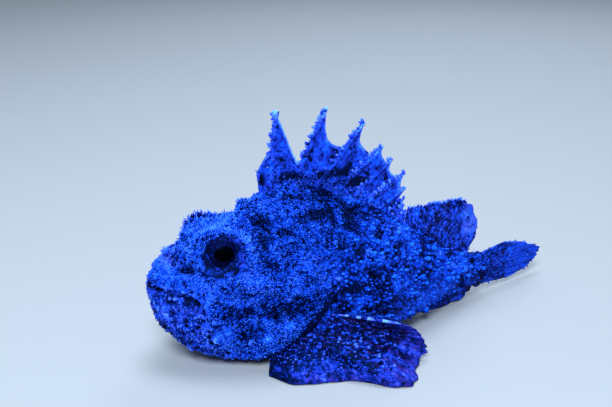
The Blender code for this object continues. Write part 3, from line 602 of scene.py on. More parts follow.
def regions(points):
    """Where points of the skin lie about the eye, mouth and gill cover, and how high they are."""
    left = to_left(points)
    mouth, along = line_distance(left, MOUTH_LINE)
    jaw, _along = line_distance(left, MOUTH_LINE + JAW_BACK)
    gill, _along = line_distance(left, GILL_LINE)
    place, height = left[..., 0], left[..., 2]
    open_ = smooth_step(along, 1.0, 0.9) * smooth_step(place, 0.17, 0.15)
    return {
        "place": place,
        "height": height,
        "mouth": mouth,
        "mouth_open": open_,
        "strand": open_ * mound(mouth - 0.0070, 0.0042) * smooth_step(place, 0.078, 0.092),
        "jaw": smooth_step(jaw, 0.0, -0.010) * smooth_step(place, 0.26, 0.22),
        "gill": gill,
        "gill_low": smooth_step(height, 0.27, 0.20),
        "orbit": np.linalg.norm(left - np.array(ORBIT_CENTRE), axis=-1),
        "eye": np.linalg.norm(left - np.array(EYE_CENTRE), axis=-1),
    }


def patch_tone(place, height):
    """How much paler the patches make the skin there, or darker; the darkening in pits, hollows and
    over the lower cheek is painted shade.
    """
    tone = np.zeros(place.shape)
    for _name, centre, reach, amount in PATCHES:
        away = ((place - centre[0]) / reach[0]) ** 2 + ((height - centre[1]) / reach[1]) ** 2
        tone += amount * np.exp(-(away**1.5))
    return np.maximum(tone, -1.0)


def skin_marks(points):
    """How fuzzy, pale, mauve and freckled the skin is at points in shares, and where painted shade
    darkens it.
    """
    near = regions(points)
    place, height, gill, jaw = (near[key] for key in ("place", "height", "gill", "jaw"))
    tone = patch_tone(place, height)

    # Where the skin is bare: a band behind the gill cover, the orbit, the lips and the slit
    wide = 0.012 + 0.012 * smooth_step(height, 0.095, 0.055)
    band = smooth_step(np.abs(gill + 0.002), wide, wide - 0.004) * near["gill_low"]
    orbit = smooth_step(near["orbit"], 0.058, 0.050)
    lid = orbit * mound(place - 0.240, 0.009) * smooth_step(height, 0.26, 0.29)
    lips = near["mouth_open"] * smooth_step(np.abs(near["mouth"]), 0.014, 0.007)
    broken = smooth_step(noisy(points, 0.016, 2.2), -0.35, 0.15)
    slit = near["mouth_open"] * mound(near["mouth"] + 0.001, 0.0040) * broken

    # Where cirri grow: in front of the gill cover and over the nape, patchy on the jaw
    front = smooth_step(gill, -0.008, -0.015)
    above = smooth_step(height, 0.24, 0.33) * smooth_step(place, 0.60, 0.44)
    patchy = smooth_step(noisy(points, 0.018, 8.0), -0.25, 0.25)
    fuzz = np.maximum(front, 0.8 * above) * (1 - band) * (1 - orbit) * (1 - 0.6 * lips)
    fuzz *= (1 - jaw * (0.35 + 0.4 * patchy)) * smooth_step(height, 0.015, 0.065)
    fuzz *= (1 - 0.4 * np.clip(-tone, 0, 1)) * (1 - near["strand"])
    fuzz *= 1 - 0.8 * smooth_step(tone, 0.5, 0.9) * smooth_step(height, 0.16, 0.13)

    # Mauve on the jaw, lips, gill band, orbit, nose and lid
    nose = np.exp(-(((place - 0.070) / 0.020) ** 2) - ((height - 0.285) / 0.016) ** 2)
    mauve = jaw * (0.15 + 0.4 * patchy) + 0.3 * lips + 0.5 * band + 0.3 * orbit + 0.8 * nose
    mauve += 0.5 * lid

    # Paler and darker: single marks, then lumps in front of the gill cover and clouds behind it
    lumps = noisy(points, 0.026, 12.0) + 0.6 * noisy(points, 0.012, 5.0)
    rear = smooth_step(gill, 0.0, 0.05)
    # The slit is darkened: painted shade in the mouth line
    tone += 0.9 * near["strand"] - 1.6 * slit - 1.4 * orbit - 0.65 * band + 0.8 * lid
    tone -= 0.18 * jaw
    tone += front * (lumps * (0.50 + 0.40 * smooth_step(place, 0.24, 0.14)) + 0.12)
    tone += front * smooth_step(place, 0.30, 0.22) * 0.18
    tone += rear * (0.9 * noisy(points, 0.060, 6.5) + 0.6 * noisy(points, 0.024, 1.5) - 0.06)
    tone += 0.25 * rear * smooth_step(height, 0.16, 0.10) * smooth_step(place, 0.85, 0.70)
    tone -= 0.25 * smooth_step(place, 0.88, 0.96)
    tone -= 0.45 * mound(gill - 0.028, 0.030) * near["gill_low"]
    return {
        "fuzz": np.clip(fuzz, 0, 1),
        "tone": np.clip(tone, -1.6, 1),
        "mauve": np.clip(mauve, 0, 1),
        "orbit": orbit,
        "jaw": jaw * (1 - orbit),
        "chin": jaw * smooth_step(height, 0.165, 0.120),
        # dark spots in front of the gill cover: painted shade that stands for gaps in the coat
        "dots": front * smooth_step(place, 0.36, 0.27) * (1 - jaw),
        "lumps": front * lumps * (1 - orbit) * (1 - 0.6 * lips),
        "rear": rear,
        "slit": broken,
    }


def ridge(distance, height, off, width):
    """A ridge beside a line, or a groove if its height is negative."""
    return height * mound(distance - off, width)


def skin_detail(points, marks):
    """How far lips, lids, gill edge, nostrils, folds and scales lift the skin at points."""
    near = regions(points)
    left = to_left(points)
    place, height, mouth, gill = (near[key] for key in ("place", "height", "mouth", "gill"))
    lips = ridge(mouth, *UPPER_LIP) + ridge(mouth, *LOWER_LIP)
    lips += ridge(mouth, *MOUTH_SLIT) * (0.35 + 0.65 * marks["slit"])
    lift = near["mouth_open"] * lips + 0.0050 * near["strand"]
    centre, reach, depth = MOUTH_CORNER
    corner = ((place - centre[0]) / reach[0]) ** 2 + ((height - centre[1]) / reach[1]) ** 2
    lift -= depth * np.exp(-corner)

    rear = smooth_step(gill, -0.09, -0.03)
    edge = 0.004 * smooth_step(gill, -0.0105, -0.0135) * rear
    edge += 0.005 * smooth_step(gill, 0.0105, 0.0070) * rear
    edge += ridge(gill, *GILL_GROOVE)
    lift += edge * near["gill_low"]
    lift += ridge(near["eye"], *EYELID)

    for spot, level, radius in NOSTRILS:
        centre, _normal = flank(spot, level, left=False)
        away = np.linalg.norm(left - centre, axis=-1)
        lift += 0.006 * mound(away - radius * 1.25, radius * 0.5) - 0.010 * mound(away, radius * 0.7)
    for spot, level, length, width, out in HEAD_SPINES:
        centre, _normal = flank(spot, level, left=False)
        away = (left - centre - np.array(out) * length * 0.3) / (length * 0.6, 0.02, width * 0.42)
        lift += 0.0075 * np.exp(-(away**2).sum(-1))

    knobby = smooth_step(place, 0.26, 0.16)
    lift += marks["lumps"] * (0.0024 + 0.0036 * knobby)
    folds = 0.0022 * noisy(points, 0.032) + 0.0012 * noisy(points, 0.0055, 3.1)
    lift += folds * (1 - 0.6 * marks["orbit"])
    lift += 0.0022 * marks["tone"] * smooth_step(height, 0.16, 0.12) * (gill < 0)
    scaly = smooth_step(gill, 0.02, 0.06) * smooth_step(height, 0.02, 0.06)
    lift += 0.0022 * scaly * scale_height(left)
    return lift


def scale_height(points):
    """Overlapping scales as heights from 0 to 1, in staggered rows along the side of the body."""
    along, up = 3.4 * MM, 3.0 * MM
    best = np.zeros(points.shape[:-1])
    shift = 0.004 * noisy(points, 0.05, 1.7)
    place, height = points[..., 0] + shift, points[..., 2] + shift
    for odd in (0, 1):
        column = np.round(place / along - odd / 2) + odd / 2
        row = np.round(height / up - odd / 2) + odd / 2
        for step in (-1, 0):
            back = (place / along - column - step) + 0.5
            off = (height / up - row) * 2
            cover = (back > 0) & (back**2 / 2.2 + off**2 / 1.6 < 1)
            best = np.maximum(best, np.where(cover, 0.25 + 0.55 * back, 0))
    return best


def coat_length(points, marks):
    """The length of the cirri in metres: short on the snout, longest on the brow."""
    place, _side, height = np.moveaxis(to_left(points), -1, 0)
    share = 0.66 + 0.34 * smooth_step(place, 0.04, 0.14)
    share += 0.30 * mound(place - 0.165, 0.045) * smooth_step(height, 0.32, 0.35)
    share -= 0.20 * smooth_step(place, 0.30, 0.44)
    share *= 0.65 + 0.35 * smooth_step(marks["fuzz"], 0.1, 0.6)
    return sizes().cirrus_length * share


def sizes():
    """The sizes and colours of the panel."""
    return bpy.context.scene.scorpionfish


def spaced(at, density, count):
    """A count of values between the ends of at, closer together where the density is high."""
    total = np.concatenate([[0], np.cumsum((density[1:] + density[:-1]) / 2 * np.diff(at))])
    return np.interp(np.linspace(0, total[-1], count), total, at)


# Meshes


def strip_faces(columns, rows, closed=False):
    """Quads over a grid of points, columns by rows. A closed grid joins its last row to its first."""
    u = np.arange(columns - 1)[:, None]
    v = np.arange(rows if closed else rows - 1)[None]
    after = (v + 1) % rows
    quads = np.stack([u * rows + v, (u + 1) * rows + v, (u + 1) * rows + after, u * rows + after], -1)
    return [tuple(quad) for quad in quads.reshape(-1, 4).tolist()]


def capped_faces(columns, rows):
    """The faces of a closed grid, and of a fan at each end to the two poles that follow its points."""
    faces = strip_faces(columns, rows, closed=True)
    low, high, last = columns * rows, columns * rows + 1, (columns - 1) * rows
    for row in range(rows):
        after = (row + 1) % rows
        faces += [(low, row, after), (high, last + after, last + row)]
    return faces


def added(name, data):
    """A new object of the scene."""
    made = bpy.data.objects.new(name, data)
    bpy.context.scene.collection.objects.link(made)
    return made


def smooth_mesh(name, points, faces):
    """A mesh whose faces are smooth and point outwards."""
    mesh = bpy.data.meshes.new(name)
    mesh.from_pydata(points.tolist(), [], faces)
    shaped = bmesh.new()
    shaped.from_mesh(mesh)
    bmesh.ops.recalc_face_normals(shaped, faces=shaped.faces)
    shaped.to_mesh(mesh)
    shaped.free()
    mesh.shade_smooth()
    return mesh


def numbers(mesh, name):
    """The number that each point of a mesh holds."""
    held = np.empty(len(mesh.vertices), np.float32)
    mesh.attributes[name].data.foreach_get("value", held)
    return held


def set_numbers(mesh, **values):
    """Gives each point of a mesh its numbers, or the same number to all."""
    for name, value in values.items():
        held = mesh.attributes.get(name) or mesh.attributes.new(name, "FLOAT", "POINT")
        held.data.foreach_set("value", (np.zeros(len(mesh.vertices)) + value).astype(np.float32))


def set_vectors(mesh, **values):
    """Gives each point of a mesh its vectors."""
    for name, value in values.items():
        data = mesh.attributes.new(name, "FLOAT_VECTOR", "POINT").data
        data.foreach_set("vector", np.asarray(value, np.float32).ravel())


def at_corners(mesh, values):
    """The values of points, once for each corner of each face."""
    corners = np.empty(len(mesh.loops), int)
    mesh.loops.foreach_get("vertex_index", corners)
    return values[corners]


def add_unwrap(mesh, around):
    """A UV map from the points' own, whose second number goes on past 1 where a closed grid joins."""
    uv = at_corners(mesh, around)
    first = np.empty(len(mesh.polygons), int)
    mesh.polygons.foreach_get("loop_start", first)
    corners = np.diff(np.append(first, len(uv)))
    highest = np.repeat(np.maximum.reduceat(uv[:, 1], first), corners)
    uv[:, 1] += highest - uv[:, 1] > 0.5
    mesh.uv_layers.new(name="unwrap").data.foreach_set("uv", uv.ravel().astype(np.float32))


def make_piece(name, shapes, material):
    """One object from shapes in shares, each a dict of faces and of values for each point."""
    faces, start = [], 0
    for shape in shapes:
        faces += [tuple(corner + start for corner in face) for face in shape["faces"]]
        start += len(shape["points"])
    keys = dict.fromkeys(key for shape in shapes for key in shape if key != "faces")
    values = {}
    for key in keys:
        columns = [shape.get(key, np.zeros(len(shape["points"]))) for shape in shapes]
        values[key] = np.concatenate(columns)
    straight = values.pop("points")
    mesh = smooth_mesh(name, posed(straight), faces)
    if "uv" in values:
        add_unwrap(mesh, values.pop("uv"))
    lie = turned(np.broadcast_to(COAT_LIES, straight.shape), straight[:, 0])
    set_vectors(mesh, straight=straight, lie=lie)
    set_numbers(mesh, **values)
    mesh.materials.append(material)
    return added(name, mesh)


def belongs(piece, slot, *nodes):
    """The piece rides on the model's only body and replaces nodes; the slot is not used."""
    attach(piece, "root")
    if nodes:
        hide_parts(*nodes)


def tube(path, radii):
    """A round closed tube along a path in shares, with a pole at each end."""
    run = np.gradient(path, axis=0)
    run /= np.linalg.norm(run, axis=1, keepdims=True)
    helper = np.where(np.abs(run[:, 1:2]) > 0.9, (1.0, 0.0, 0.0), (0.0, 1.0, 0.0))
    across = np.cross(run, helper)
    across /= np.linalg.norm(across, axis=1, keepdims=True)
    other = np.cross(run, across)
    angle = np.linspace(0, 2 * math.pi, TUBE_SIDES, endpoint=False)
    ring = across[:, None] * np.cos(angle)[:, None] + other[:, None] * np.sin(angle)[:, None]
    points = path[:, None] + ring * radii[:, None, None]
    ends = np.stack([path[0] - run[0] * radii[0] * 0.5, path[-1] + run[-1] * radii[-1] * 0.6])
    along = np.append(np.repeat(np.linspace(0, 1, len(path)), TUBE_SIDES), (0, 1))
    turn = np.append(np.tile(angle / (2 * math.pi), len(path)), (0, 0))
    return {
        "points": np.concatenate([points.reshape(-1, 3), ends]),
        "faces": capped_faces(len(path), TUBE_SIDES),
        "along": along,
        "across": 0 * along,
        "ray": 0 * along + 1,
        "uv": np.stack([along, turn], -1),
    }


def sheet(middle, thickness, values):
    """A closed sheet about a grid of points, columns by rows, with numbers for each point."""
    along = np.gradient(middle, axis=1)
    across = np.gradient(middle, axis=0)
    normal = np.cross(across, along)
    normal /= np.maximum(np.linalg.norm(normal, axis=-1, keepdims=True), TINY)
    half = normal * thickness[..., None] / 2
    columns, rows = thickness.shape
    count = columns * rows
    front = strip_faces(columns, rows)
    faces = front + [tuple(count + corner for corner in face[::-1]) for face in front]
    rim = [u * rows for u in range(columns)]
    rim += [(columns - 1) * rows + v for v in range(1, rows)]
    rim += [u * rows + rows - 1 for u in range(columns - 2, -1, -1)]
    rim += [v for v in range(rows - 2, 0, -1)]
    faces += [(a, count + a, count + b, b) for a, b in zip(rim, rim[1:] + rim[:1])]
    points = np.concatenate([(middle + half).reshape(-1, 3), (middle - half).reshape(-1, 3)])
    points[:, 2] = np.maximum(points[:, 2], FIN_CLEARANCE)
    u, v = np.meshgrid(np.linspace(0, 1, columns), np.linspace(0, 1, rows), indexing="ij")
    uv = [np.stack([u * 0.48 + side * 0.5, v], -1).reshape(-1, 2) for side in (0, 1)]
    shape = {"points": points, "faces": faces, "uv": np.concatenate(uv)}
    for key, value in values.items():
        shape[key] = np.tile(np.broadcast_to(value, (columns, rows)).ravel(), 2)
    return shape


def ray_fan(roots, tips, arches, rows, per_gap, edge, thickness, wave=0.0, split=0.5, lift=0.0):
    """A fin of soft rays that branch on their way out, as one closed sheet, and its middle grid.

    Edge says how far the web reaches between two rays. Thickness is in millimetres, for the fleshy
    root, a ray, the web and the margin. Split is where the rays branch, as a share of their length.
    """
    count = len(roots)
    at = np.linspace(0, count - 1, (count - 1) * per_gap + 1)
    number = np.arange(count)
    root, tip = (np.stack([smooth_curve(at, number, ends[:, i]) for i in range(3)], -1)
                 for ends in (roots, tips))
    arch = smooth_curve(at, number, np.zeros(count) + arches)
    part = at - np.floor(at)
    reach = 1 - (1 - np.interp(at, number, np.zeros(count) + edge)) * np.sin(math.pi * part) ** 2
    steps = np.linspace(0, 1, rows) ** 0.9
    x = reach[:, None] * steps
    grid = root[:, None] + (tip - root)[:, None] * x[..., None]
    grid[..., 2] += arch[:, None] * 4 * x * (1 - x)
    off = np.minimum(part, 1 - part)[:, None]
    spread = np.clip(x - split, 0, 1) * 0.5
    ray = mound(off - spread, 0.13 + 0.05 * x)
    flesh, thick, thin, margin = (value * MM for value in thickness)
    beads = 1 + 0.12 * np.sin(x * 95)
    depth = thin + (thick - thin) * ray * beads * (1 - 0.55 * x)
    depth = np.where(x < FLESHY, depth + (flesh - depth) * (1 - x / FLESHY), depth)
    depth = margin + (depth - margin) * smooth_step(1 - steps, 0, 0.06)
    grid[..., 1] += np.sin(at * math.pi)[:, None] * wave * x**1.5
    grid[..., 2] = np.maximum(grid[..., 2], depth / 2 + lift)
    values = {"along": x, "across": at[:, None] + 0 * x, "ray": ray}
    return sheet(grid, depth, values), grid


# Shaders


class Value:
    """A number or colour in a node tree. Sums, products and differences of numbers add nodes."""

    def __init__(self, maker, socket):
        self.maker = maker
        self.socket = socket

    def of(self, name):
        """Another output of the same node."""
        found = [out for out in self.socket.node.outputs if out.enabled and out.name == name]
        return Value(self.maker, found[0])

    def __add__(self, other):
        return self.maker.math("ADD", self, other)

    def __mul__(self, other):
        return self.maker.math("MULTIPLY", self, other)

    def __sub__(self, other):
        return self.maker.math("SUBTRACT", self, other)

    def __rsub__(self, other):
        return self.maker.math("SUBTRACT", other, self)

    __radd__ = __add__
    __rmul__ = __mul__


class Maker:
    """Adds nodes to a tree."""

    def __init__(self, tree):
        self.tree = tree
        tree.nodes.clear()

    def node(self, kind, settings=None, inputs=None):
        """A node: its settings come first, then values or links for its sockets by name or place."""
        made = self.tree.nodes.new(kind)
        settings = dict(settings or {})
        stops = settings.pop("stops", None)
        for name, value in settings.items():
            setattr(made, name, value)
        if stops:
            elements = made.color_ramp.elements
            while len(elements) < len(stops):
                elements.new(0.5)
            for element, (place, colour) in zip(elements, stops):
                element.position = place
                element.color = (*colour, 1)
        sockets = [socket for socket in made.inputs if socket.enabled]
        for key, value in (inputs or {}).items():
            socket = sockets[key] if isinstance(key, int) else made.inputs[key]
            if isinstance(key, str) and not socket.enabled:
                socket = next(other for other in sockets if other.name == key)
            if isinstance(value, Value):
                self.tree.links.new(value.socket, socket)
            else:
                socket.default_value = value
        outputs = [out for out in made.outputs if out.enabled]
        return Value(self, outputs[0]) if outputs else made

    def math(self, operation, *values):
        """Numbers worked out from numbers."""
        return self.node("ShaderNodeMath", {"operation": operation}, dict(enumerate(values)))

    def vector(self, operation, *values):
        """Vectors worked out from vectors and numbers."""
        return self.node("ShaderNodeVectorMath", {"operation": operation}, dict(enumerate(values)))

    def held(self, *names):
        """Numbers that the mesh holds for each point."""
        return [self.node("ShaderNodeAttribute", {"attribute_name": name}).of("Fac") for name in names]

    def place(self):
        """The place on the straight fish, in shares."""
        return self.node("ShaderNodeAttribute", {"attribute_name": "straight"}).of("Vector")

    def noise(self, where, size, detail=3.0, rough=0.55):
        """Cloudy noise from 0 to 1, whose features are about a size across."""
        inputs = {"Vector": where, "Scale": 1 / size, "Detail": detail, "Roughness": rough}
        return self.node("ShaderNodeTexNoise", {}, inputs)

    def cells(self, where, size):
        """Distance to the nearest of many scattered points, in units of their spacing."""
        return self.node("ShaderNodeTexVoronoi", {}, {"Vector": where, "Scale": 1 / size})

    def spots(self, where, size, rim, core):
        """Scattered round spots: 0 from the rim out and 1 from the core in, in units of spacing."""
        return self.step(self.cells(where, size), rim, core)

    def step(self, value, low, high):
        """From 0 at low to 1 at high, with soft ends."""
        inputs = {"Value": value, "From Min": low, "From Max": high}
        return self.node("ShaderNodeMapRange", {"interpolation_type": "SMOOTHSTEP"}, inputs)

    def mix(self, share, low, high):
        """From one colour to another."""
        low, high = ((*colour, 1) if isinstance(colour, tuple) else colour for colour in (low, high))
        inputs = {"Factor": share, "A": low, "B": high}
        return self.node("ShaderNodeMix", {"data_type": "RGBA"}, inputs)

    def bump(self, height, distance, strength):
        """A normal from a height that goes from 0 to 1 over a distance in metres."""
        inputs = {"Height": height, "Distance": distance, "Strength": strength}
        return self.node("ShaderNodeBump", {}, inputs)


def new_material(name):
    """A material, and the maker of its nodes."""
    material = bpy.data.materials.new(name)
    material.use_nodes = True
    return material, Maker(material.node_tree)


def surface(look, base, roughness, normal=None, shine=SHINE):
    """The principled shader, whose faint shine is blue, and the output."""
    inputs = {"Base Color": base, "Roughness": roughness, "Specular IOR Level": shine,
              "Specular Tint": (*SHINE_TINT, 1)}
    if normal is not None:
        inputs["Normal"] = normal
    shader = look.node("ShaderNodeBsdfPrincipled", {}, inputs)
    look.node("ShaderNodeOutputMaterial", {}, {"Surface": shader})


def tint(name):
    """A colour of the panel, as a tuple."""
    return tuple(getattr(sizes(), name))


def coloured(look, level, mauve):
    """The fish's colours, with the blue of the light it sits in painted in: from nearly black at level
    0 to pale at level 1, blue or mauve.
    """
    ramps = []
    for shades in (("black", "deep", "middle", "light", "pale"),
                   ("black", "deep", "mauve", "mauve_light", "pale")):
        stops = tuple(zip(SHADE_STOPS, (tint(shade) for shade in shades)))
        ramps.append(look.node("ShaderNodeValToRGB", {"stops": stops}, {"Fac": level}))
    return look.mix(mauve, *ramps)


def skin_level(look):
    """How pale the markings are that skin and coat share, with their painted shade, and how mauve."""
    where = look.place()
    tone, mauve, jaw, chin, dots, rear = look.held("tone", "mauve", "jaw", "chin", "dots", "rear")
    clouds = look.noise(where, 0.070, 2.0)
    blots = look.noise(where, 0.020)
    grain = look.noise(where, 0.0065)
    level = 0.50 + tone * 0.42 + (clouds - 0.5) * 0.7 + (blots - 0.5) * (0.8 + rear * 0.3)
    level = level + (grain - 0.5) * (0.8 - rear * 0.3)
    # Dark spots: painted shade for gaps in the coat
    level = level - look.spots(where, 0.0110, 0.42, 0.26) * dots * 0.28
    longer = look.vector("MULTIPLY", where, (1.3, 1.0, 0.7))
    level = level + look.spots(longer, 0.0140, 0.40, 0.22) * jaw * 0.40
    elsewhere = look.vector("ADD", where, (0.37, 0.1, 0.2))
    level = level - look.spots(elsewhere, 0.0150, 0.42, 0.26) * chin * 0.8
    return level, look.math("MINIMUM", mauve + look.step(clouds, 0.58, 0.72) * 0.2, 0.95)


def skin_material():
    """Bare skin between the cirri: painted shade makes it darker where they are thick, with folds and
    cracked scales.
    """
    material, look = new_material("skin")
    where = look.place()
    level, mauve = skin_level(look)
    fuzz, orbit, jaw = look.held("fuzz", "orbit", "jaw")
    fold = look.noise(where, 0.0030, 4.0, 0.65)
    crack = look.step(look.cells(where, 0.0085), 0.30, 0.62) * (1 - fuzz) * (1 - orbit) * 0.30
    # Painted shade under the cirri: the skin is darker where they are thick
    colour = coloured(look, level - fuzz * 0.24 - crack + (fold - 0.5) * 0.45, mauve)
    height = fold * 0.6 + look.cells(where, 0.0045) * 0.5
    roughness = 0.56 + fold * 0.25 - orbit * 0.10 - jaw * 0.08
    surface(look, colour, roughness, look.bump(height, 0.0006, 0.8))
    return material


def coat_material(name, shades, roots):
    """Cirri: dark at the root, which is painted shade inside the coat, and pale at the tip, some all
    dark, with the skin's markings and painted shade.
    """
    material, look = new_material(name)
    level, mauve = skin_level(look)
    tip, shade = look.held("tip", "shade")
    # Darker to the root: painted shade inside the coat
    lift = (look.step(tip, 0.15, 0.95) - 0.60) * roots + (look.step(shade, 0.10, 0.62) - 0.66) * shades
    level = look.math("MINIMUM", level + lift, 0.85)
    surface(look, coloured(look, level, mauve), 0.7, shine=0.0)
    return material


def flap_material():
    """Skin flaps and tassels, mostly pale, some dark, with roots darkened by painted shade."""
    material, look = new_material("flaps")
    level, mauve = skin_level(look)
    tip, shade = look.held("tip", "shade")
    # Darker to the root: painted shade where flaps and tassels meet the skin
    lift = (look.step(shade, 0.20, 0.90) - 0.55) * 0.60 + (look.step(tip, 0.0, 0.8) - 0.55) * 0.4
    level = look.math("MINIMUM", level + lift, 0.76)
    surface(look, coloured(look, level, mauve), 0.6, shine=0.02)
    return material


def fin_material(name, level, stripes, pale_rays, mauve, coarse=1.0):
    """A web with rays: mottled near its root, banded rays, dark spots, painted shade in its hollows, a
    pale margin.
    """
    material, look = new_material(name)
    where = look.place()
    along, across, ray = look.held("along", "across", "ray")
    spot, hollow, pale, calm = look.held("spot", "hollow", "pale", "calm")
    clouds = look.noise(where, 0.035)
    grain = look.noise(where, 0.010)
    fine = look.noise(where, 0.004)
    band = look.math("SINE", along * stripes + look.noise(where, 0.05) * 4.0)
    mottle = clouds - 0.5 + ((grain - 0.5) * 1.5 + (fine - 0.5) * 0.9) * coarse
    holes = look.spots(look.vector("ADD", where, (0.1, 0.2, 0.4)), 0.0140, 0.34, 0.24)
    level = level + (mottle - holes * 0.22) * (1 - calm * 0.7) + pale
    # hollow: painted shade at the base of the spiny fin
    level = level + look.step(band, -0.8, 0.8) * ray * pale_rays - spot * 0.7 - hollow * 0.45
    share = look.step(clouds + (grain - 0.5) * 0.6, 0.70, 0.35) * mauve
    ridges = look.math("SINE", across * 44.0)
    normal = look.bump(fine * 0.6 + ray * 0.3 + ridges * 0.12, 0.0005, 0.7)
    surface(look, coloured(look, level, share), 0.42 + fine * 0.2, normal)
    return material


def breast_material():
    """The breast fin: dark and flecked inside, violet outside, a banded top ray, a spotted pad, and
    painted shadow where it lies under the head.
    """
    material, look = new_material("breast_web")
    where = look.place()
    along, across, ray = look.held("along", "across", "ray")
    place = look.node("ShaderNodeSeparateXYZ", {}, {"Vector": where})
    clouds = look.noise(where, 0.030)
    grain = look.noise(where, 0.010)
    fine = look.noise(where, 0.004)
    pad = look.step(across, 9.0, 11.5) * look.step(along, 0.98, 0.75) * look.step(along, 0.30, 0.50)
    # Painted shadow: darker where the fin lies under the head
    shadow_under_head = look.step(place, 0.365, 0.325)
    outer = look.step(along + (clouds - 0.5) * 0.5, 0.66, 0.90)
    top = look.step(across, 0.75, 0.35)
    band = look.step(look.math("SINE", along * 34.0 + clouds * 9.0), -0.5, 0.6)
    flecks = look.spots(look.vector("MULTIPLY", where, (0.8, 1.0, 1.0)), 0.0130, 0.38, 0.22)
    dots = look.spots(look.vector("ADD", where, (0.2, 0.3, 0.1)), 0.019, 0.30, 0.20)
    level = 0.04 + (clouds - 0.5) * 0.9 + (grain - 0.5) * 1.3 + (fine - 0.5) * 0.6
    level = level + flecks * (1 - outer) * (1 - pad) * 0.40 + outer * 0.34
    level = level + pad * 0.05 - dots * pad * 0.5 + top * (band * 0.46 + 0.22) - shadow_under_head * 0.35
    level = level - ray * (1 - pad) * (1 - top) * 0.10
    share = look.math("MINIMUM", 0.12 + outer * 0.7 + ray * 0.3 + top * 0.5 - pad * 0.12, 1.0)
    colour = coloured(look, level, share)
    dark_ray = ray * look.step(grain, 0.42, 0.60) * (1 - pad) * (1 - top) * (1 - shadow_under_head)
    colour = look.mix(dark_ray * 0.75, colour, tint("maroon"))
    normal = look.bump(fine * 0.6 + ray * 0.4, 0.0005, 0.8)
    surface(look, colour, 0.55 + fine * 0.2, normal)
    return material


def eye_material():
    """A black oval pupil in a nearly black, faintly streaked iris, with pale specks that are painted
    glints.
    """
    material, look = new_material("eye")
    off, = look.held("off_axis")
    where = look.place()
    streaks = look.step(look.noise(where, 0.004), 0.50, 0.80)
    iris = look.mix(streaks * 0.3, IRIS_BLACK, tint("maroon"))
    # Pale specks in the iris: painted glints
    painted_glints = look.step(look.noise(where, 0.005, 1.0), 0.62, 0.70) * look.step(off, 0.56, 0.64)
    iris = look.mix(painted_glints * 0.35, iris, tint("middle"))
    colour = look.mix(look.step(off, 0.58, 0.50), iris, PUPIL_BLACK)
    surface(look, colour, 0.35, shine=0.01)
    return material


def spine_material():
    """Head spines, coloured as the skin is, and paler to the tip."""
    material, look = new_material("spines")
    level, mauve = skin_level(look)
    along, = look.held("along")
    level = level + (look.step(along, 0.3, 1.0) - 0.45) * 0.6
    grain = look.noise(look.place(), 0.006)
    surface(look, coloured(look, level, mauve), 0.5, look.bump(grain, 0.0004, 0.6))
    return material


def plain_material(name, colour, roughness):
    """A matt finish with faint clouds, for the floor."""
    material, look = new_material(name)
    where = look.node("ShaderNodeTexCoord").of("Object")
    clouds = look.noise(where, 0.35)
    shade = look.mix(clouds, tuple(0.97 * value for value in colour), colour)
    surface(look, shade, roughness)
    return material


# Tufts


def fingers(name, table, sides, thick, flat=1.0):
    """A closed tuft of tapered fingers, one unit long: start height, heading, splay, length."""
    points, faces, tip, patch = [], [], [], []
    for start, heading, splay, length in table:
        first = len(points)
        level = np.array([math.cos(heading), math.sin(heading), 0.0]) * splay
        away = level + (0, 0, 1.0)
        away /= np.linalg.norm(away)
        side = np.cross(away, (math.sin(heading), -math.cos(heading), 0.3))
        side /= np.linalg.norm(side)
        other = np.cross(away, side)
        root = np.array([0, 0, start])
        for share, width in FINGER_RINGS:
            centre = root + away * length * share + level * FINGER_DROOP * share**2
            for i in range(sides):
                angle = 2 * math.pi * i / sides
                ring = side * math.cos(angle) + other * math.sin(angle) * flat
                points.append(centre + ring * thick * width * (0.7 + 0.3 * length))
                tip.append(start + length * share)
                patch.append((i / sides, tip[-1]))
        points.append(root + away * length + level * FINGER_DROOP)
        tip.append(start + length)
        patch.append((0.5, tip[-1]))
        for ring in range(len(FINGER_RINGS) - 1):
            for i in range(sides):
                a, b = first + ring * sides + i, first + ring * sides + (i + 1) % sides
                faces += [(a, b, b + sides), (a, b + sides, a + sides)]
        end = first + (len(FINGER_RINGS) - 1) * sides
        faces += [(end + i, end + (i + 1) % sides, len(points) - 1) for i in range(sides)]
        faces.append(tuple(range(first + sides - 1, first - 1, -1)))
    return tuft_object(name, points, faces, tip, patch)


def leaf(name, lobes, width):
    """A thin flap, one unit long and upright, its flat side towards the first axis."""
    lower = ((-0.10, 0.0), (-0.75, 0.35), (-1.0, 0.62))
    steps = range(2 * lobes)
    lobed = [(-0.95 + 1.9 * (i + 0.5) / len(steps), 0.86 if i % 2 else 1.0) for i in steps]
    outline = [*lower, *lobed, *((-across, height) for across, height in reversed(lower))]
    points = [(0.16 * height**2, across * width, height) for across, height in outline]
    points += [(0.10, 0.0, 0.58), (0.0, 0.0, 0.58)]
    top, low = len(outline), len(outline) + 1
    faces = []
    for i in range(len(outline)):
        after = (i + 1) % len(outline)
        faces += [(top, i, after), (low, after, i)]
    tip = [height for _across, height in outline] + [0.6, 0.6]
    patch = [(0.5 + across / 2, height) for across, height in outline] + [(0.5, 0.6), (0.5, 0.4)]
    return tuft_object(name, points, faces, tip, patch)


def tuft_object(name, points, faces, tip, patch):
    """A tuft to be copied, with how near its tip each point is, and a UV map."""
    mesh = smooth_mesh(name, np.array(points), faces)
    set_numbers(mesh, tip=tip)
    uv = at_corners(mesh, np.array(patch, np.float32))
    mesh.uv_layers.new(name="patch").data.foreach_set("uv", uv.ravel())
    return bpy.data.objects.new(name, mesh)


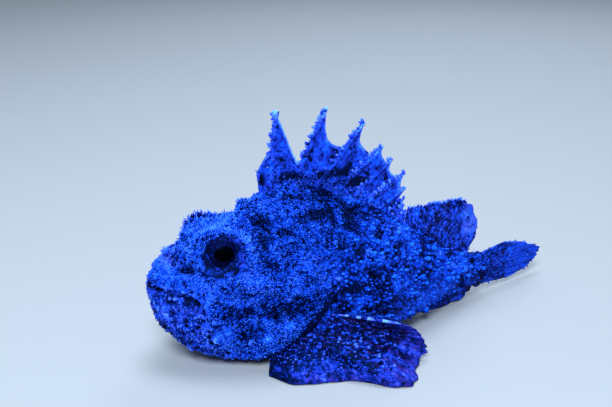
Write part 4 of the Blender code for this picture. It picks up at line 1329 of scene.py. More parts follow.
def tuft_kinds():
    """Each kind of tuft, as a collection of a few shapes to be copied."""
    made = {}
    for kind, (sides, shapes) in FINGER_TUFTS.items():
        made[kind] = [fingers(kind + "_" + letter, table, sides, thick)
                      for letter, (thick, table) in zip("abcd", shapes)]
    rng = np.random.default_rng(5)
    made["tassels"] = []
    for letter in "abc":
        table = [(0, rng.uniform(0, 6.28), rng.uniform(0.05, 0.6), rng.uniform(0.6, 1.0))
                 for _finger in range(6)]
        table += [(rng.uniform(0.1, 0.4), rng.uniform(0, 6.28), rng.uniform(0.5, 0.9),
                   rng.uniform(0.3, 0.5)) for _finger in range(4)]
        made["tassels"].append(fingers("tassel_" + letter, table, 4, 0.075, flat=0.8))
    made["flaps"] = [leaf("flap_" + letter, lobes, width)
                     for letter, (lobes, width) in zip("abcd", FLAP_SHAPES)]
    for kind, tufts in made.items():
        made[kind] = bpy.data.collections.new(kind)
        for tuft in tufts:
            made[kind].objects.link(tuft)
    return made


def tuft_tree(name, scatter):
    """A node group that plants tufts over a surface, or on each point of a mesh of points."""
    group = bpy.data.node_groups.new(name, "GeometryNodeTree")
    for socket, kind in TREE_INPUTS.items():
        group.interface.new_socket(name=socket, in_out="INPUT", socket_type="NodeSocket" + kind)
    group.interface.new_socket(name="Geometry", in_out="OUTPUT", socket_type="NodeSocketGeometry")
    look = Maker(group)
    given = look.node("NodeGroupInput")

    def named(key, kind="FLOAT"):
        return look.node("GeometryNodeInputNamedAttribute", {"data_type": kind}, {"Name": key})

    def chance(kind, low, high, seed):
        inputs = {0: low, 1: high, "Seed": given.of("Seed") + seed}
        return look.node("FunctionNodeRandomValue", {"data_type": kind}, inputs)

    def stored(geometry, key, value, kind, domain):
        inputs = {"Geometry": geometry, "Name": key, "Value": value}
        settings = {"data_type": kind, "domain": domain}
        return look.node("GeometryNodeStoreNamedAttribute", settings, inputs)

    if scatter:
        inputs = {
            "Mesh": given.of("Geometry"),
            "Distance Min": given.of("Spacing"),
            "Density Max": given.of("Density"),
            "Density Factor": named(given.of("Grow")),
            "Seed": given.of("Seed"),
        }
        even = {"distribute_method": "POISSON"}
        spots = look.node("GeometryNodeDistributePointsOnFaces", even, inputs)
        out = spots.of("Normal")
    else:
        spots = look.node("GeometryNodeMeshToPoints", {}, {"Mesh": given.of("Geometry")})
        out = named("out", "FLOAT_VECTOR")
    spots = stored(spots, "shade", chance("FLOAT", 0.0, 1.0, 1), "FLOAT", "POINT")

    upright = look.vector("SCALE", out, given.of("Stand"))
    lying = look.vector("SCALE", named("lie", "FLOAT_VECTOR"), 1 - given.of("Stand"))
    stray = look.vector("SCALE", chance("FLOAT_VECTOR", (-1, -1, -1), (1, 1, 1), 2), given.of("Spread"))
    heading = look.vector("ADD", look.vector("ADD", upright, lying), stray)
    turn = look.node("FunctionNodeAlignRotationToVector", {"axis": "Z"}, {"Vector": heading})
    turn = look.node("FunctionNodeAlignRotationToVector", {"axis": "X", "pivot_axis": "Z"},
                     {"Rotation": turn, "Vector": out})
    spin = chance("FLOAT", -1.0, 1.0, 3) * given.of("Spin")
    spin = look.node("FunctionNodeAxisAngleToRotation", {}, {"Axis": (0, 0, 1), "Angle": spin})
    turn = look.node("FunctionNodeRotateRotation", {"rotation_space": "LOCAL"},
                     {"Rotation": turn, "Rotate By": spin})

    shapes = {"Collection": given.of("Tufts"), "Separate Children": True, "Reset Children": True}
    inputs = {
        "Points": spots,
        "Instance": look.node("GeometryNodeCollectionInfo", {}, shapes),
        "Pick Instance": True,
        "Instance Index": chance("INT", 0, 99, 5),
        "Rotation": turn,
        "Scale": named("length") * (1 + chance("FLOAT", -1.0, 1.0, 4) * given.of("Vary")),
    }
    tufts = look.node("GeometryNodeInstanceOnPoints", {}, inputs)
    real = look.node("GeometryNodeRealizeInstances", {}, {"Geometry": tufts})
    offset = look.vector("SUBTRACT", named("patch", "FLOAT_VECTOR"), (0.5, 0.5, 0))
    offset = look.vector("SCALE", offset, given.of("Patch"))
    unwrap = look.vector("ADD", named("unwrap", "FLOAT_VECTOR"), offset)
    real = stored(real, "OFBake", unwrap, "FLOAT2", "CORNER")
    for key in ("unwrap", "patch", "lie", "out", "length"):
        real = look.node("GeometryNodeRemoveAttribute", {}, {"Geometry": real, "Name": key})
    inputs = {"Geometry": real, "Material": given.of("Material")}
    done = look.node("GeometryNodeSetMaterial", {}, inputs)
    look.node("NodeGroupOutput", {}, {"Geometry": done})
    return group


def coat_kit():
    """The node groups, tufts and materials of the coat, made once."""
    if not KIT:
        KIT.update(
            tuft_kinds(),
            scattered=tuft_tree("scattered_tufts", True),
            placed=tuft_tree("placed_tufts", False),
            cirri_look=coat_material("cirri", shades=0.60, roots=0.75),
            knob_look=coat_material("knobs", shades=0.30, roots=0.30),
            flap_look=flap_material(),
        )
    return KIT


def drop_kit():
    """Removes the tufts that were copied, which aren't part of the fish."""
    for group in [item for item in KIT.values() if isinstance(item, bpy.types.Collection)]:
        for tuft in list(group.objects):
            bpy.data.objects.remove(tuft)
        bpy.data.collections.remove(group)
    KIT.clear()


def point_mesh(name, points, out, lengths, uv, **marks):
    """A mesh of loose points in shares, with what the placed tufts need at each."""
    points = np.asarray(points, float)
    out = turned(out, points[:, 0])
    mesh = bpy.data.meshes.new(name)
    mesh.from_pydata(posed(points).tolist(), [], [])
    set_vectors(mesh, straight=points, out=out, lie=out, unwrap=np.pad(uv, ((0, 0), (0, 1))))
    set_numbers(mesh, length=lengths, fuzz=0, **marks)
    return mesh


def plant_on(name, mesh, tree, tufts, slot, **inputs):
    """A piece of coat: what a node group plants on a host mesh, as a plain mesh object."""
    kit = coat_kit()
    holder = added(name + "_holder", mesh)
    change = holder.modifiers.new("tufts", "NODES")
    change.node_group = kit[tree]
    given = {"Tufts": kit[tufts], "Material": kit[COAT_LOOKS[tufts]], "Grow": "grow", "Spin": math.pi,
             "Patch": 0.003, **inputs}
    for item in kit[tree].interface.items_tree:
        if item.in_out == "INPUT" and item.name in given:
            change[item.identifier] = given[item.name]
    graph = bpy.context.evaluated_depsgraph_get()
    coat = bpy.data.meshes.new_from_object(holder.evaluated_get(graph))
    coat.name = name
    bpy.data.objects.remove(holder)
    belongs(added(name, coat), slot)


def add_grow(mesh, reach, amount, length, extra=0.0):
    """How thickly a fin's root is grown with cirri, and how long they are."""
    grow = amount * smooth_step(numbers(mesh, "along"), reach, reach * 0.35) + extra
    set_numbers(mesh, grow=grow, length=length, tone=-0.25, mauve=0.5, fuzz=0.0)


def edge_fringe(name, grid, slot, columns, length, every, seed):
    """Small cirri along the outer edge of a fin's grid, from one share of its columns to another."""
    first, last = (int(share * (len(grid) - 1)) for share in columns)
    line = grid[first:last + 1, -1]
    out = line - grid[first:last + 1, -4]
    total = np.append(0, np.cumsum(np.linalg.norm(np.diff(line, axis=0), axis=1)))
    at = np.arange(0, total[-1], every * MM)
    points, outs = (np.stack([np.interp(at, total, rows[:, i]) for i in range(3)], -1)
                    for rows in (line, out))
    outs /= np.linalg.norm(outs, axis=1, keepdims=True)
    points -= outs * 0.3 * MM
    uv = np.stack([at / total[-1], 0 * at + 1], -1)
    mesh = point_mesh(name + "_spots", points, outs, length, uv, tone=0.6, mauve=0.5)
    plant_on(name, mesh, "placed", "cirri", slot, Stand=1.0, Spread=0.45, Vary=0.4, Seed=seed)


# Pieces


def build_skin():
    """One skin over head, jaw, trunk and tail, with the marks that its coat follows."""
    along = np.linspace(SKIN_START, 1 - JAW_TIP, EVEN_ALONG)
    head = smooth_step(along, 0.38, 0.28)
    places = spaced(along, 1 + 1.9 * head + 0.06 / np.sqrt(along + 0.0004), SKIN_RINGS) + JAW_TIP
    around = np.linspace(0, 2 * math.pi, EVEN_ROUND)
    upper = sum(mound(around - math.radians(middle), math.radians(50)) for middle in (30, 150, 375))
    angles = spaced(around, 1 + 0.6 * upper, SKIN_SIDES + 1)[:-1]
    place, angle = np.meshgrid(places, angles, indexing="ij")
    base = body_point(place, angle)
    marks = skin_marks(base)
    marks["length"] = coat_length(base, marks)
    fade = smooth_step(place - JAW_TIP, 0, 0.006) * smooth_step(base[..., 2], 0.002, 0.02)
    depth = (0.0003 + 0.75 * marks["fuzz"] * marks["length"]) / STANDARD_LENGTH
    lift = (skin_detail(base, marks) - depth) * fade
    points = base + outward(place, angle) * lift[..., None]
    points[..., 2] = np.maximum(points[..., 2], SKIN_CLEARANCE)
    ends = np.stack([points[0].mean(0) - (SKIN_START, 0, 0), points[-1].mean(0)])
    uv = np.stack([place, angle / (2 * math.pi)], -1).reshape(-1, 2)
    shape = {
        "points": np.concatenate([points.reshape(-1, 3), ends]),
        "faces": capped_faces(SKIN_RINGS, SKIN_SIDES),
        "uv": np.concatenate([uv, [(0, 0.5), (1, 0.5)]]),
    }
    for key, value in marks.items():
        shape[key] = np.append(value.ravel(), (value[0].mean(), value[-1].mean()))
    shape.update(coat_growth(shape["points"], shape["fuzz"]))
    skin = make_piece("skin", [shape], skin_material())
    belongs(skin, "head", "head", "lower_jaw", "trunk", "tail")


def coat_growth(points, fuzz):
    """How thickly each kind of tuft and each part of the coat grows at points of the skin."""
    place, _side, height = to_left(points).T
    rear = smooth_step(place, 0.40, 0.50) * smooth_step(height, 0.02, 0.07)
    growth = {
        "flank": rear * (1 - fuzz),
        "flaps": rear * (0.10 + 0.90 * smooth_step(noisy(points, 0.05, 4.0), -0.1, 0.3)),
        "brow": fuzz * smooth_step(height, 0.285, 0.315) * smooth_step(place, 0.27, 0.23),
    }
    for name, (side, start, end) in COAT_PARTS.items():
        inside = (points[:, 1] * side >= 0) & (place >= start) & (place < end)
        growth["grow_" + name] = fuzz * inside
    return growth


def build_eyes():
    """Both eyeballs, with a raised cornea over an oval pupil."""
    material = eye_material()
    off = np.linspace(0, math.pi, EYE_RINGS + 1)[1:-1]
    turn = np.linspace(0, 2 * math.pi, EYE_SIDES, endpoint=False)
    axis = np.array(Vector(EYE_AXIS).normalized())
    oval = np.sqrt(np.cos(turn) ** 2 + (np.sin(turn) / PUPIL_OVAL) ** 2)
    angle = np.append((off[:, None] * oval).ravel(), (0, math.pi))
    radius = EYE_RADIUS * (EYE_FIT + CORNEA_RISE * mound(off, 0.55))
    for name, mirror in (("left", (1, -1, 1)), ("right", (1, 1, 1))):
        forward = axis * mirror
        across = np.cross(forward, (0, 0, 1.0))
        across /= np.linalg.norm(across)
        upward = np.cross(across, forward)
        ring = across * np.cos(turn)[:, None] + upward * np.sin(turn)[:, None]
        centre = np.array(EYE_CENTRE) * mirror
        points = centre + radius[:, None, None] * (
            forward * np.cos(off)[:, None, None] + ring[None] * np.sin(off)[:, None, None]
        )
        poles = centre + np.stack([forward * EYE_RADIUS * (EYE_FIT + CORNEA_RISE),
                                   -forward * EYE_RADIUS * EYE_FIT])
        shape = {
            "points": np.concatenate([points.reshape(-1, 3), poles]),
            "faces": capped_faces(EYE_RINGS - 1, EYE_SIDES),
            "off_axis": angle,
        }
        belongs(make_piece("eyeball_" + name, [shape], material), "eye_" + name, "eye_" + name)


def web_marks(points):
    """How far points of the spiny fin are inside a dark spot, or inside a hollow darkened by painted
    shade.
    """
    flat = points[:, (0, 2)]
    spot, hollow = np.zeros(len(flat)), np.zeros(len(flat))
    for centre in WEB_SPOTS:
        away = np.linalg.norm(flat - np.array(centre), axis=1)
        spot = np.maximum(spot, smooth_step(away, 0.0062, 0.0034))
    for centre, reach in WEB_SHADED_HOLLOWS:
        away = (((flat - np.array(centre)) / np.array(reach)) ** 2).sum(1)
        hollow = np.maximum(hollow, np.exp(-(away**1.5)))
    return {"spot": spot, "hollow": hollow}


def leaning(rays, angle, sunk):
    """Roots on the middle line, sunk into the body, and tips from lengths and leans."""
    place, length, lean = np.array(rays).T
    roots = np.stack([place, 0 * place, middle_height(place, angle)], -1)
    lean = np.radians(lean)
    tips = roots + np.stack([np.sin(lean) * length, 0 * length, np.cos(lean) * length], -1)
    roots[:, 2] -= sunk * math.copysign(1, angle)
    return roots, tips


def drawn_in(roots, tips, amounts):
    """Tips drawn in along their rays, to leave room for a fringe: shares of length, along the fin."""
    amounts = np.interp(np.linspace(0, 1, len(roots)), *zip(*amounts))
    return roots + (tips - roots) * (1 - amounts[:, None])


def spiny_spine(root, tip, number):
    """A fleshy spine of the first back fin, and its radii at SPINE_SHARES of its length."""
    share = SPINE_SHARES
    length = np.linalg.norm(tip - root)
    radii = (1.00 * (1 - share) ** 0.8 + 0.72) * MM * (0.65 + 0.35 * length / 0.2)
    radii *= 1 + 0.10 * np.sin(share * length * 260 + number)
    if number == BULBOUS_SPINE:
        radii += 1.15 * MM * mound(share - 0.97, 0.04)
    spine = tube(root + (tip - root) * share[:, None], radii)
    spine["pale"] = 0.50 * smooth_step(spine["along"], 0.72, 0.98)
    return spine, radii


def spine_growth(root, tip, radii, number, rng, growth):
    """Adds where knobs grow down the front of a spine and cirri down both its sides."""
    length = np.linalg.norm(tip - root)
    run = (tip - root) / length
    front = np.cross((0, 1.0, 0), run)
    front *= -np.sign(front[0])
    for kind, start, step, sides in (("knobs", 0.30, 0.0092, (0,)), ("cirri", 0.30, 0.0100, (-1, 1))):
        start = 1.0 if kind == "knobs" and number == 0 else start
        for at in np.arange(start, 0.985, step / length):
            for side in sides:
                out = front * (0.35 if side else 1.0) + np.array((0, 0.9 * side, 0)) + run * 0.3
                out += rng.uniform(-0.25, 0.25, 3)
                out /= np.linalg.norm(out)
                base = root + (tip - root) * at
                size = 0.0021 + 0.0005 * (1 - at) if kind == "knobs" else 0.0013
                radius = np.interp(at, SPINE_SHARES, radii)
                growth[kind].append((base + out * radius * 0.5, out, size, at))


def spiny_web(roots, tips, number):
    """The notched web between a spine of the first back fin and the next one."""
    part = np.linspace(0, 1, 22)
    bulge = np.sin(part * math.pi)
    root = roots[number] + (roots[number + 1] - roots[number]) * part[:, None]
    tip = tips[number] + (tips[number + 1] - tips[number]) * part[:, None]
    notch, power = WEB_NOTCHES[number], WEB_POWERS[number]
    reach = notch + (1 - notch) * (1 - part) ** power
    reach = reach * 0.985 + 0.012 * noisy(tip, 0.012, 9.0) * bulge
    x = reach[:, None] * np.linspace(0, 1, 48)
    length = np.linalg.norm(tip - root, axis=1)[:, None]
    grid = root[:, None] + (tip - root)[:, None] * x[..., None]
    grid[..., 1] += 0.006 * bulge[:, None] * x * (1 if number % 2 else -1)
    grid[..., 1] += 0.0020 * noisy(grid, 0.018, 2.0) * bulge[:, None]
    thickness = 0.55 * MM + 1.6 * MM * np.clip(1 - x / 0.35, 0, 1) ** 1.3
    thickness = thickness + 0.9 * MM * mound(part, 0.12)[:, None] * (1 - x)
    border = smooth_step((reach[:, None] - x) * length, 0.012, 0.003)
    thickness = thickness + MM * border
    pale = WEB_MARGINS[min(number, len(WEB_MARGINS) - 1)]
    values = {"along": x, "across": (number + part)[:, None] + 0 * x, "ray": 0.2 * border,
              "pale": border * pale}
    return sheet(grid, thickness, values)


def build_spiny_fin():
    """Twelve fleshy spines with a notched web, knobs down their fronts and cirri over the base."""
    roots, tips = leaning(BACK_SPINES, math.pi / 2, sunk=0.020)
    rng = np.random.default_rng(11)
    tips[:, 1] += rng.uniform(-0.006, 0.006, len(tips))
    shapes, growth = [], {"knobs": [], "cirri": []}
    for number, (root, tip) in enumerate(zip(roots, tips)):
        spine, radii = spiny_spine(root, tip, number)
        spine_growth(root, tip, radii, number, rng, growth)
        shapes.append(spine)
    shapes += [spiny_web(roots, tips, number) for number in range(len(WEB_NOTCHES))]
    for shape in shapes:
        shape.update(web_marks(shape["points"]))
    web = fin_material("spiny_web", level=0.37, stripes=24.0, pale_rays=0.10, mauve=0.75, coarse=0.60)
    fin = make_piece("spiny_fin", shapes, web)
    add_grow(fin.data, reach=0.36, amount=0.9, length=0.0014, extra=0.05)
    belongs(fin, "spiny_back_fin", "spiny_back_fin")
    for kind, tone, spread, seed in (("knobs", 0.4, 0.15, 20), ("cirri", 0.1, 0.35, 21)):
        spots, outs, lengths, ats = (np.array(column) for column in zip(*growth[kind]))
        uv = np.stack([np.linspace(0, 1, len(spots)), ats], -1)
        mesh = point_mesh("spine_" + kind + "_spots", spots, outs, lengths, uv, tone=tone, mauve=0.6)
        plant_on("spine_" + kind, mesh, "placed", kind, "spiny_back_fin", Stand=1.0, Spread=spread,
                 Vary=0.35, Seed=seed)
    plant_on("spiny_base_cirri", fin.data, "scattered", "cirri", "spiny_back_fin", Density=1.3e6,
             Spacing=0.0008, Stand=0.75, Spread=0.35, Vary=0.4, Seed=22)


def build_soft_fin():
    """The second back fin, of soft rays, with a fringe along its front."""
    roots, tips = leaning(SOFT_RAYS, math.pi / 2, sunk=0.016)
    tips = drawn_in(roots, tips, ((0, 0.05), (0.5, 0.05), (0.65, 0.0), (1, 0.0)))
    shape, grid = ray_fan(roots, tips, arches=0, rows=48, per_gap=12, edge=0.965,
                          thickness=(3.0, 1.5, 0.5, 0.35), wave=0.0035)
    place, _side, height = shape["points"].T
    outer = smooth_step(place, 0.912, 0.935) * smooth_step(height, 0.17, 0.21)
    last = smooth_step(shape["across"], 8.70, 8.92) * smooth_step(shape["along"], 0.25, 0.4)
    front = np.exp(-(((place - 0.732) / 0.030) ** 2) - ((height - 0.268) / 0.040) ** 2)
    shape["pale"] = 0.34 * outer + 0.45 * last + 0.06 * front
    shape["calm"] = 0.6 * outer
    web = fin_material("soft_web", level=0.28, stripes=16.0, pale_rays=0.14, mauve=0.85)
    fin = make_piece("soft_fin", [shape], web)
    add_grow(fin.data, reach=0.35, amount=0.6, length=0.0013, extra=0.20)
    belongs(fin, "soft_back_fin", "soft_back_fin")
    edge_fringe("soft_fin_fringe", grid, "soft_back_fin", columns=(0.0, 0.62), length=0.0018,
                every=0.55, seed=31)
    plant_on("soft_fin_cirri", fin.data, "scattered", "cirri", "soft_back_fin", Density=1.2e6,
             Spacing=0.0008, Stand=0.6, Spread=0.4, Vary=0.4, Seed=32)


def build_anal_fin():
    """The fin under the tail."""
    roots, tips = leaning(ANAL_RAYS, -math.pi / 2, sunk=0.012)
    tips[:, 2] = np.maximum(tips[:, 2], 0.003)
    shape, _grid = ray_fan(roots, tips, arches=0, rows=36, per_gap=12, edge=0.965,
                           thickness=(2.4, 1.4, 0.5, 0.35), wave=0.003)
    web = fin_material("anal_web", level=0.26, stripes=16.0, pale_rays=0.15, mauve=0.7)
    fin = make_piece("anal_web_fin", [shape], web)
    belongs(fin, "anal_fin", "anal_fin")


def build_tail_fin():
    """The tail fin, with a fringe along its upper edge."""
    share = np.linspace(0, 1, TAIL_RAYS)
    place, low, high = TAIL_ROOT
    roots = np.stack([place + 0 * share, 0 * share, high + (low - high) * share], -1)
    table = np.array(TAIL_TIPS)
    reach, rise = (smooth_curve(share, table[:, 0], table[:, i]) for i in (1, 2))
    tips = np.stack([reach, 0 * share, rise], -1)
    tips = drawn_in(roots, tips, ((0, 0.06), (0.2, 0.04), (0.4, 0.0), (1, 0.0)))
    shape, grid = ray_fan(roots, tips, arches=0, rows=56, per_gap=10, edge=0.975,
                          thickness=(4.4, 1.6, 0.6, 0.35), wave=0.002)
    shape["calm"] = 0.7 * smooth_step(shape["points"][:, 0], 1.10, 1.15)
    shape["pale"] = 0.10 * shape["calm"]
    web = fin_material("tail_web", level=0.32, stripes=18.0, pale_rays=0.08, mauve=0.10)
    fin = make_piece("tail_web_fin", [shape], web)
    add_grow(fin.data, reach=0.50, amount=0.8, length=0.0013, extra=0.08)
    belongs(fin, "tail_fin", "tail_fin")
    edge_fringe("tail_fringe", grid, "tail_fin", columns=(0.0, 0.26), length=0.0016, every=0.6,
                seed=33)
    plant_on("tail_fin_cirri", fin.data, "scattered", "cirri", "tail_fin", Density=1.2e6,
             Spacing=0.0008, Stand=0.5, Spread=0.4, Vary=0.4, Seed=34)


def side_fin(name, material, left, table, root, count, sunk, **shape_of):
    """A fin of rays fanned from the side of the body to tips on a smooth line through a table."""
    share = np.linspace(0, 1, count)
    start, end = np.array(root)
    spots = [flank(*(start + (end - start) * at)) for at in share]
    roots = np.array([point - normal * sunk for point, normal in spots])
    table = np.array(table)
    *tips, arches = (smooth_curve(share, table[:, 0], table[:, i]) for i in range(1, 5))
    tips = np.stack(tips, -1) * (1, -1, 1)
    shape, _grid = ray_fan(roots, tips, arches, per_gap=10, split=0.6, lift=0.0004, **shape_of)
    if not left:
        shape["points"] *= (1, -1, 1)
    return make_piece(name, [shape], material)


def add_flecks(mesh):
    """Where small pale flaps grow on a breast fin, and granules over its fleshy pad."""
    along, across = numbers(mesh, "along"), numbers(mesh, "across")
    flecks = smooth_step(along, 0.16, 0.30) * smooth_step(along, 0.86, 0.66)
    flecks *= smooth_step(across, 0.5, 1.5) * smooth_step(across, 12.5, 11.0)
    pad = smooth_step(across, 9.0, 11.5) * smooth_step(along, 1.0, 0.9)
    set_numbers(mesh, flecks=flecks, pad=pad)


def build_side_fins():
    """Breast fins spread on the floor and belly fins under them."""
    breast = breast_material()
    belly = fin_material("belly_web", level=0.22, stripes=14.0, pale_rays=0.15, mauve=0.6)
    edge = 0.990 - 0.018 * mound(np.linspace(0, 1, BREAST_RAYS) - 0.50, 0.12)
    for name, left in (("left", True), ("right", False)):
        fin = side_fin("breast_web_" + name, breast, left, BREAST_TIPS, BREAST_ROOT, BREAST_RAYS,
                       sunk=0.022, rows=60, edge=edge, thickness=(6.0, 1.9, 0.6, 0.4))
        add_grow(fin.data, reach=0.30, amount=0.5, length=0.0011, extra=0.10)
        add_flecks(fin.data)
        belongs(fin, "breast_fin_" + name, "breast_fin_" + name)
        for kind, tufts, grow, size, density, spacing, stand, spin in (
            ("cirri", "cirri", "grow", 0.0011, 0.7e6, 0.0010, 0.45, math.pi),
            ("pad", "knobs", "pad", 0.0011, 0.6e6, 0.0010, 0.60, math.pi),
            ("flaps", "flaps", "flecks", 0.0021, 0.25e6, 0.0018, 0.22, 0.5),
        ):
            set_numbers(fin.data, length=size)
            plant_on("breast_" + kind + "_" + name, fin.data, "scattered", tufts, "breast_fin_" + name,
                     Grow=grow, Density=density, Spacing=spacing, Stand=stand, Spread=0.3, Spin=spin,
                     Vary=0.35, Seed=41)
        fin = side_fin("belly_web_" + name, belly, left, BELLY_TIPS, BELLY_ROOT, BELLY_RAYS,
                       sunk=0.016, rows=36, edge=0.93, thickness=(3.2, 1.6, 0.7, 0.45))
        belongs(fin, "belly_fin_" + name, "belly_fin_" + name)


def build_coat():
    """Cirri over the head and nape, in pieces, and longer ones that stand up from the brow."""
    skin = bpy.data.objects["skin"].data
    for seed, name in enumerate(COAT_PARTS, 50):
        plant_on("cirri_" + name, skin, "scattered", "cirri", "head", Grow="grow_" + name,
                 Density=sizes().cirrus_density * 1e6, Spacing=sizes().cirrus_spacing, Stand=0.62,
                 Spread=0.38, Vary=0.30, Seed=seed)
    host = skin.copy()
    set_numbers(host, length=numbers(host, "length") * BROW_GROWTH)
    plant_on("brow_cirri", host, "scattered", "spiky", "head", Grow="brow", Density=1.2e6,
             Spacing=0.0009, Stand=0.85, Spread=0.30, Vary=0.30, Seed=60)
    bpy.data.meshes.remove(host)


def build_flaps():
    """Small dark flaps over the flank, and larger pale ones that lie back over them."""
    host = bpy.data.objects["skin"].data.copy()
    for name, grow, length, density, spacing, stand, vary in (
        ("flank_flecks", "flank", 0.0018, 0.24e6, 0.0014, 0.20, 0.45),
        ("flank_flaps", "flaps", sizes().flap_length, 0.12e6, 0.0028, 0.14, 0.40),
    ):
        set_numbers(host, length=length)
        plant_on(name, host, "scattered", "flaps", "trunk", Grow=grow, Density=density,
                 Spacing=spacing, Stand=stand, Spread=0.20, Spin=0.7, Vary=vary, Seed=71)
    bpy.data.meshes.remove(host)


def on_both_sides(table):
    """Each row of a table twice: its root on the flank, the normal there, its direction, the rest."""
    for place, height, *rest, out in table:
        for left in (True, False):
            base, normal = flank(place, height, left)
            direction = np.array(out) * (1, -1 if left else 1, 1)
            yield base, normal, direction / np.linalg.norm(direction), *rest


def build_tassels():
    """Branched tassels round the jaw, brow and along the flank."""
    (start, high), (end, low) = FLANK_LINE
    row = [(start + (end - start) * share, high + (low - high) * share, 0.018, (0.8, 0.7, -0.1))
           for share in np.linspace(0, 1, FLANK_TASSELS)]
    spots, outs, lengths = [], [], []
    for base, normal, direction, length in on_both_sides((*HEAD_TASSELS, *row)):
        spots.append(base - normal * 1.2 * MM)
        outs.append(direction)
        lengths.append(length * STANDARD_LENGTH + 0.0008)
    uv = np.array(spots)[:, (0, 2)]
    mesh = point_mesh("tassel_spots", spots, outs, lengths, uv, tone=0.3, mauve=0.2)
    plant_on("tassels", mesh, "placed", "tassels", "head", Stand=1.0, Spread=0.12, Vary=0.15, Seed=81)


def build_spines():
    """Low spines on the ridges of the head, among the cirri."""
    shapes = []
    share = np.linspace(0, 1, 14)
    for base, normal, direction, length, width in on_both_sides(HEAD_SPINES):
        path = base - normal * 1.5 * MM + direction * length * share[:, None]
        path += normal * 0.10 * length * np.sin(share * math.pi)[:, None]
        shapes.append(tube(path, width * 0.34 * (1 - share) ** 0.75 + 0.25 * MM))
        shapes[-1]["tone"] = 0 * shapes[-1]["along"] - 0.1
    spines = make_piece("head_spines", shapes, spine_material())
    add_grow(spines.data, reach=2.0, amount=1.0, length=0.0013)
    belongs(spines, "head")
    plant_on("spine_coat", spines.data, "scattered", "cirri", "head", Density=1.6e6,
             Spacing=0.0007, Stand=0.6, Spread=0.4, Vary=0.35, Seed=91)


# Stage


def build_stage():
    """A pale floor, soft studio light and the camera."""
    given = sizes()
    mesh = bpy.data.meshes.new("floor")
    corners = [(x * FLOOR_HALF, y * FLOOR_HALF, 0) for x, y in ((-1, -1), (1, -1), (1, 1), (-1, 1))]
    mesh.from_pydata(corners, [], [(0, 1, 2, 3)])
    mesh.materials.append(plain_material("floor", tint("floor"), 0.85))
    added("floor", mesh)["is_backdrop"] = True
    world = bpy.data.worlds.new("studio")
    world.use_nodes = True
    look = Maker(world.node_tree)
    sky = look.node("ShaderNodeBackground", {}, {"Color": (*SKY_TINT, 1), "Strength": given.sky})
    look.node("ShaderNodeOutputWorld", {}, {"Surface": sky})
    scene = bpy.context.scene
    scene.world = world
    scene.view_settings.view_transform = "Standard"
    for name, place, size, power in LAMPS:
        light = bpy.data.lights.new(name, "AREA")
        light.energy = given.key * power
        light.size = size
        aimed(added(name, light), place, LIGHT_TARGET)
    camera = bpy.data.cameras.new("camera")
    camera.sensor_width = 36.0
    camera.lens = given.lens
    scene.camera = added("camera", camera)
    aimed(scene.camera, given.camera, given.target)


def aimed(made, place, target):
    """Puts a light or the camera at a place and turns it to a target."""
    made.location = place
    made.rotation_euler = (Vector(target) - Vector(place)).to_track_quat("-Z", "Y").to_euler()


# The add-on


def colour_property(name, text, value):
    return FloatVectorProperty(name=name, description=text, subtype="COLOR", size=3, min=0, max=1,
                               default=value)


def length_property(name, text, value):
    return FloatProperty(name=name, description=text, default=value, min=0.0001, unit="LENGTH",
                         precision=5)


class ScorpionfishSettings(bpy.types.PropertyGroup):
    """Sizes and colours of the fish, and its stage."""

    cirrus_length: length_property("Cirrus length", "Length of the cirri on the cheek", 0.0016)
    cirrus_spacing: length_property("Cirrus spacing", "Least distance between cirri", 0.00057)
    cirrus_density: FloatProperty(name="Cirri", description="Cirri to a square millimetre", default=2.3)
    flap_length: length_property("Flap length", "Length of the skin flaps on the flank", 0.0034)
    # The blues and mauves are painted light: the blue of the light the fish sits in is put into its
    # colours. Black blue is also the painted shade in pits.
    black: colour_property("Black blue", "Pits and cracks", (0.0002, 0.0015, 0.024))
    deep: colour_property("Deep blue", "The darkest skin", (0.0006, 0.006, 0.10))
    middle: colour_property("Middle blue", "Most of the skin", (0.004, 0.048, 0.68))
    light: colour_property("Light blue", "Flecks and tips", (0.006, 0.105, 1.0))
    pale: colour_property("Pale blue", "The palest flecks", (0.09, 0.30, 1.0))
    mauve: colour_property("Mauve", "Jaw and webs", (0.011, 0.028, 0.50))
    mauve_light: colour_property("Light mauve", "Pale parts of the webs", (0.075, 0.150, 0.90))
    maroon: colour_property("Maroon", "Dark rays and the iris", (0.020, 0.006, 0.11))
    floor: colour_property("Floor", "The floor", (0.26, 0.31, 0.37))
    sky: FloatProperty(name="Ambient", description="Strength of the light all round", default=0.35)
    key: FloatProperty(name="Key light", description="Power of the main light", default=26.0,
                       unit="POWER")
    lens: FloatProperty(name="Lens", description="Focal length in millimetres", default=59.1)
    camera: FloatVectorProperty(name="Camera", description="Where the camera is", subtype="XYZ",
                                unit="LENGTH", default=(-0.23138, -0.40493, 0.23059))
    target: FloatVectorProperty(name="Target", description="Where the camera looks", subtype="XYZ",
                                unit="LENGTH", default=(-0.03446, 0.01737, 0.0665))


class SCORPIONFISH_OT_skin(bpy.types.Operator):
    """One skin over head, jaw, trunk and tail"""

    bl_idname = "scorpionfish.skin"
    bl_label = "Skin"

    def execute(self, _context):
        build_skin()
        return {"FINISHED"}


class SCORPIONFISH_OT_eyes(bpy.types.Operator):
    """Both eyeballs"""

    bl_idname = "scorpionfish.eyes"
    bl_label = "Eyes"

    def execute(self, _context):
        build_eyes()
        return {"FINISHED"}


class SCORPIONFISH_OT_spiny_fin(bpy.types.Operator):
    """Spines, web and their cirri"""

    bl_idname = "scorpionfish.spiny_fin"
    bl_label = "Spiny back fin"

    def execute(self, _context):
        build_spiny_fin()
        return {"FINISHED"}


class SCORPIONFISH_OT_middle_fins(bpy.types.Operator):
    """Second back fin, fin under the tail and tail fin"""

    bl_idname = "scorpionfish.middle_fins"
    bl_label = "Middle fins"

    def execute(self, _context):
        build_soft_fin()
        build_anal_fin()
        build_tail_fin()
        return {"FINISHED"}


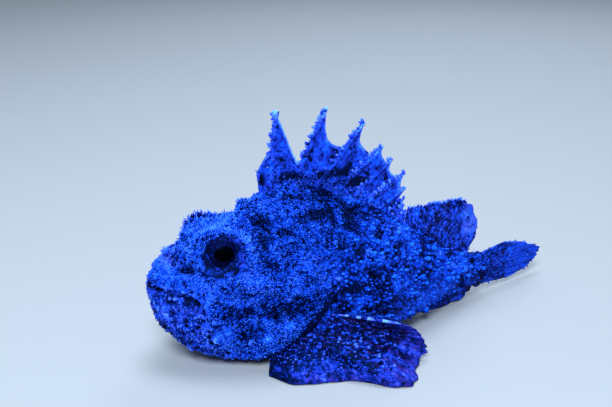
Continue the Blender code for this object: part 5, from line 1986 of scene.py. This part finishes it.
class SCORPIONFISH_OT_side_fins(bpy.types.Operator):
    """Breast and belly fins"""

    bl_idname = "scorpionfish.side_fins"
    bl_label = "Side fins"

    def execute(self, _context):
        build_side_fins()
        return {"FINISHED"}


class SCORPIONFISH_OT_coat(bpy.types.Operator):
    """Cirri over the head and nape"""

    bl_idname = "scorpionfish.coat"
    bl_label = "Coat"

    def execute(self, _context):
        build_coat()
        return {"FINISHED"}


class SCORPIONFISH_OT_flaps(bpy.types.Operator):
    """Skin flaps over the flank"""

    bl_idname = "scorpionfish.flaps"
    bl_label = "Flaps"

    def execute(self, _context):
        build_flaps()
        return {"FINISHED"}


class SCORPIONFISH_OT_tassels(bpy.types.Operator):
    """Branched tassels of the jaw, brow and flank"""

    bl_idname = "scorpionfish.tassels"
    bl_label = "Tassels"

    def execute(self, _context):
        build_tassels()
        return {"FINISHED"}


class SCORPIONFISH_OT_spines(bpy.types.Operator):
    """Low spines on the ridges of the head"""

    bl_idname = "scorpionfish.spines"
    bl_label = "Head spines"

    def execute(self, _context):
        build_spines()
        return {"FINISHED"}


class SCORPIONFISH_OT_stage(bpy.types.Operator):
    """Floor, lights and camera"""

    bl_idname = "scorpionfish.stage"
    bl_label = "Stage"

    def execute(self, _context):
        build_stage()
        return {"FINISHED"}


OPERATORS = (
    SCORPIONFISH_OT_skin,
    SCORPIONFISH_OT_eyes,
    SCORPIONFISH_OT_spiny_fin,
    SCORPIONFISH_OT_middle_fins,
    SCORPIONFISH_OT_side_fins,
    SCORPIONFISH_OT_coat,
    SCORPIONFISH_OT_flaps,
    SCORPIONFISH_OT_tassels,
    SCORPIONFISH_OT_spines,
    SCORPIONFISH_OT_stage,
)


class SCORPIONFISH_PT_panel(bpy.types.Panel):
    """Lists the pieces of the fish with their sizes and colours."""

    bl_idname = "SCORPIONFISH_PT_panel"
    bl_label = "Scorpionfish"
    bl_space_type = "VIEW_3D"
    bl_region_type = "UI"
    bl_category = "Scorpionfish"

    def draw(self, context):
        for name in ScorpionfishSettings.__annotations__:
            self.layout.prop(context.scene.scorpionfish, name)
        for made in OPERATORS:
            self.layout.operator(made.bl_idname)


CLASSES = (ScorpionfishSettings, *OPERATORS, SCORPIONFISH_PT_panel)


def register():
    for made in CLASSES:
        bpy.utils.register_class(made)
    bpy.types.Scene.scorpionfish = PointerProperty(type=ScorpionfishSettings)


def unregister():
    del bpy.types.Scene.scorpionfish
    for made in reversed(CLASSES):
        bpy.utils.unregister_class(made)


def main():
    register()
    for made in OPERATORS:
        getattr(bpy.ops.scorpionfish, made.bl_idname.split(".")[1])()
    drop_kit()
    boxes = {"cad": CAD_BOX, "visual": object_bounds()}
    {key: [list(corner) for corner in box] for key, box in boxes.items()}


if __name__ == "__main__":
    main()
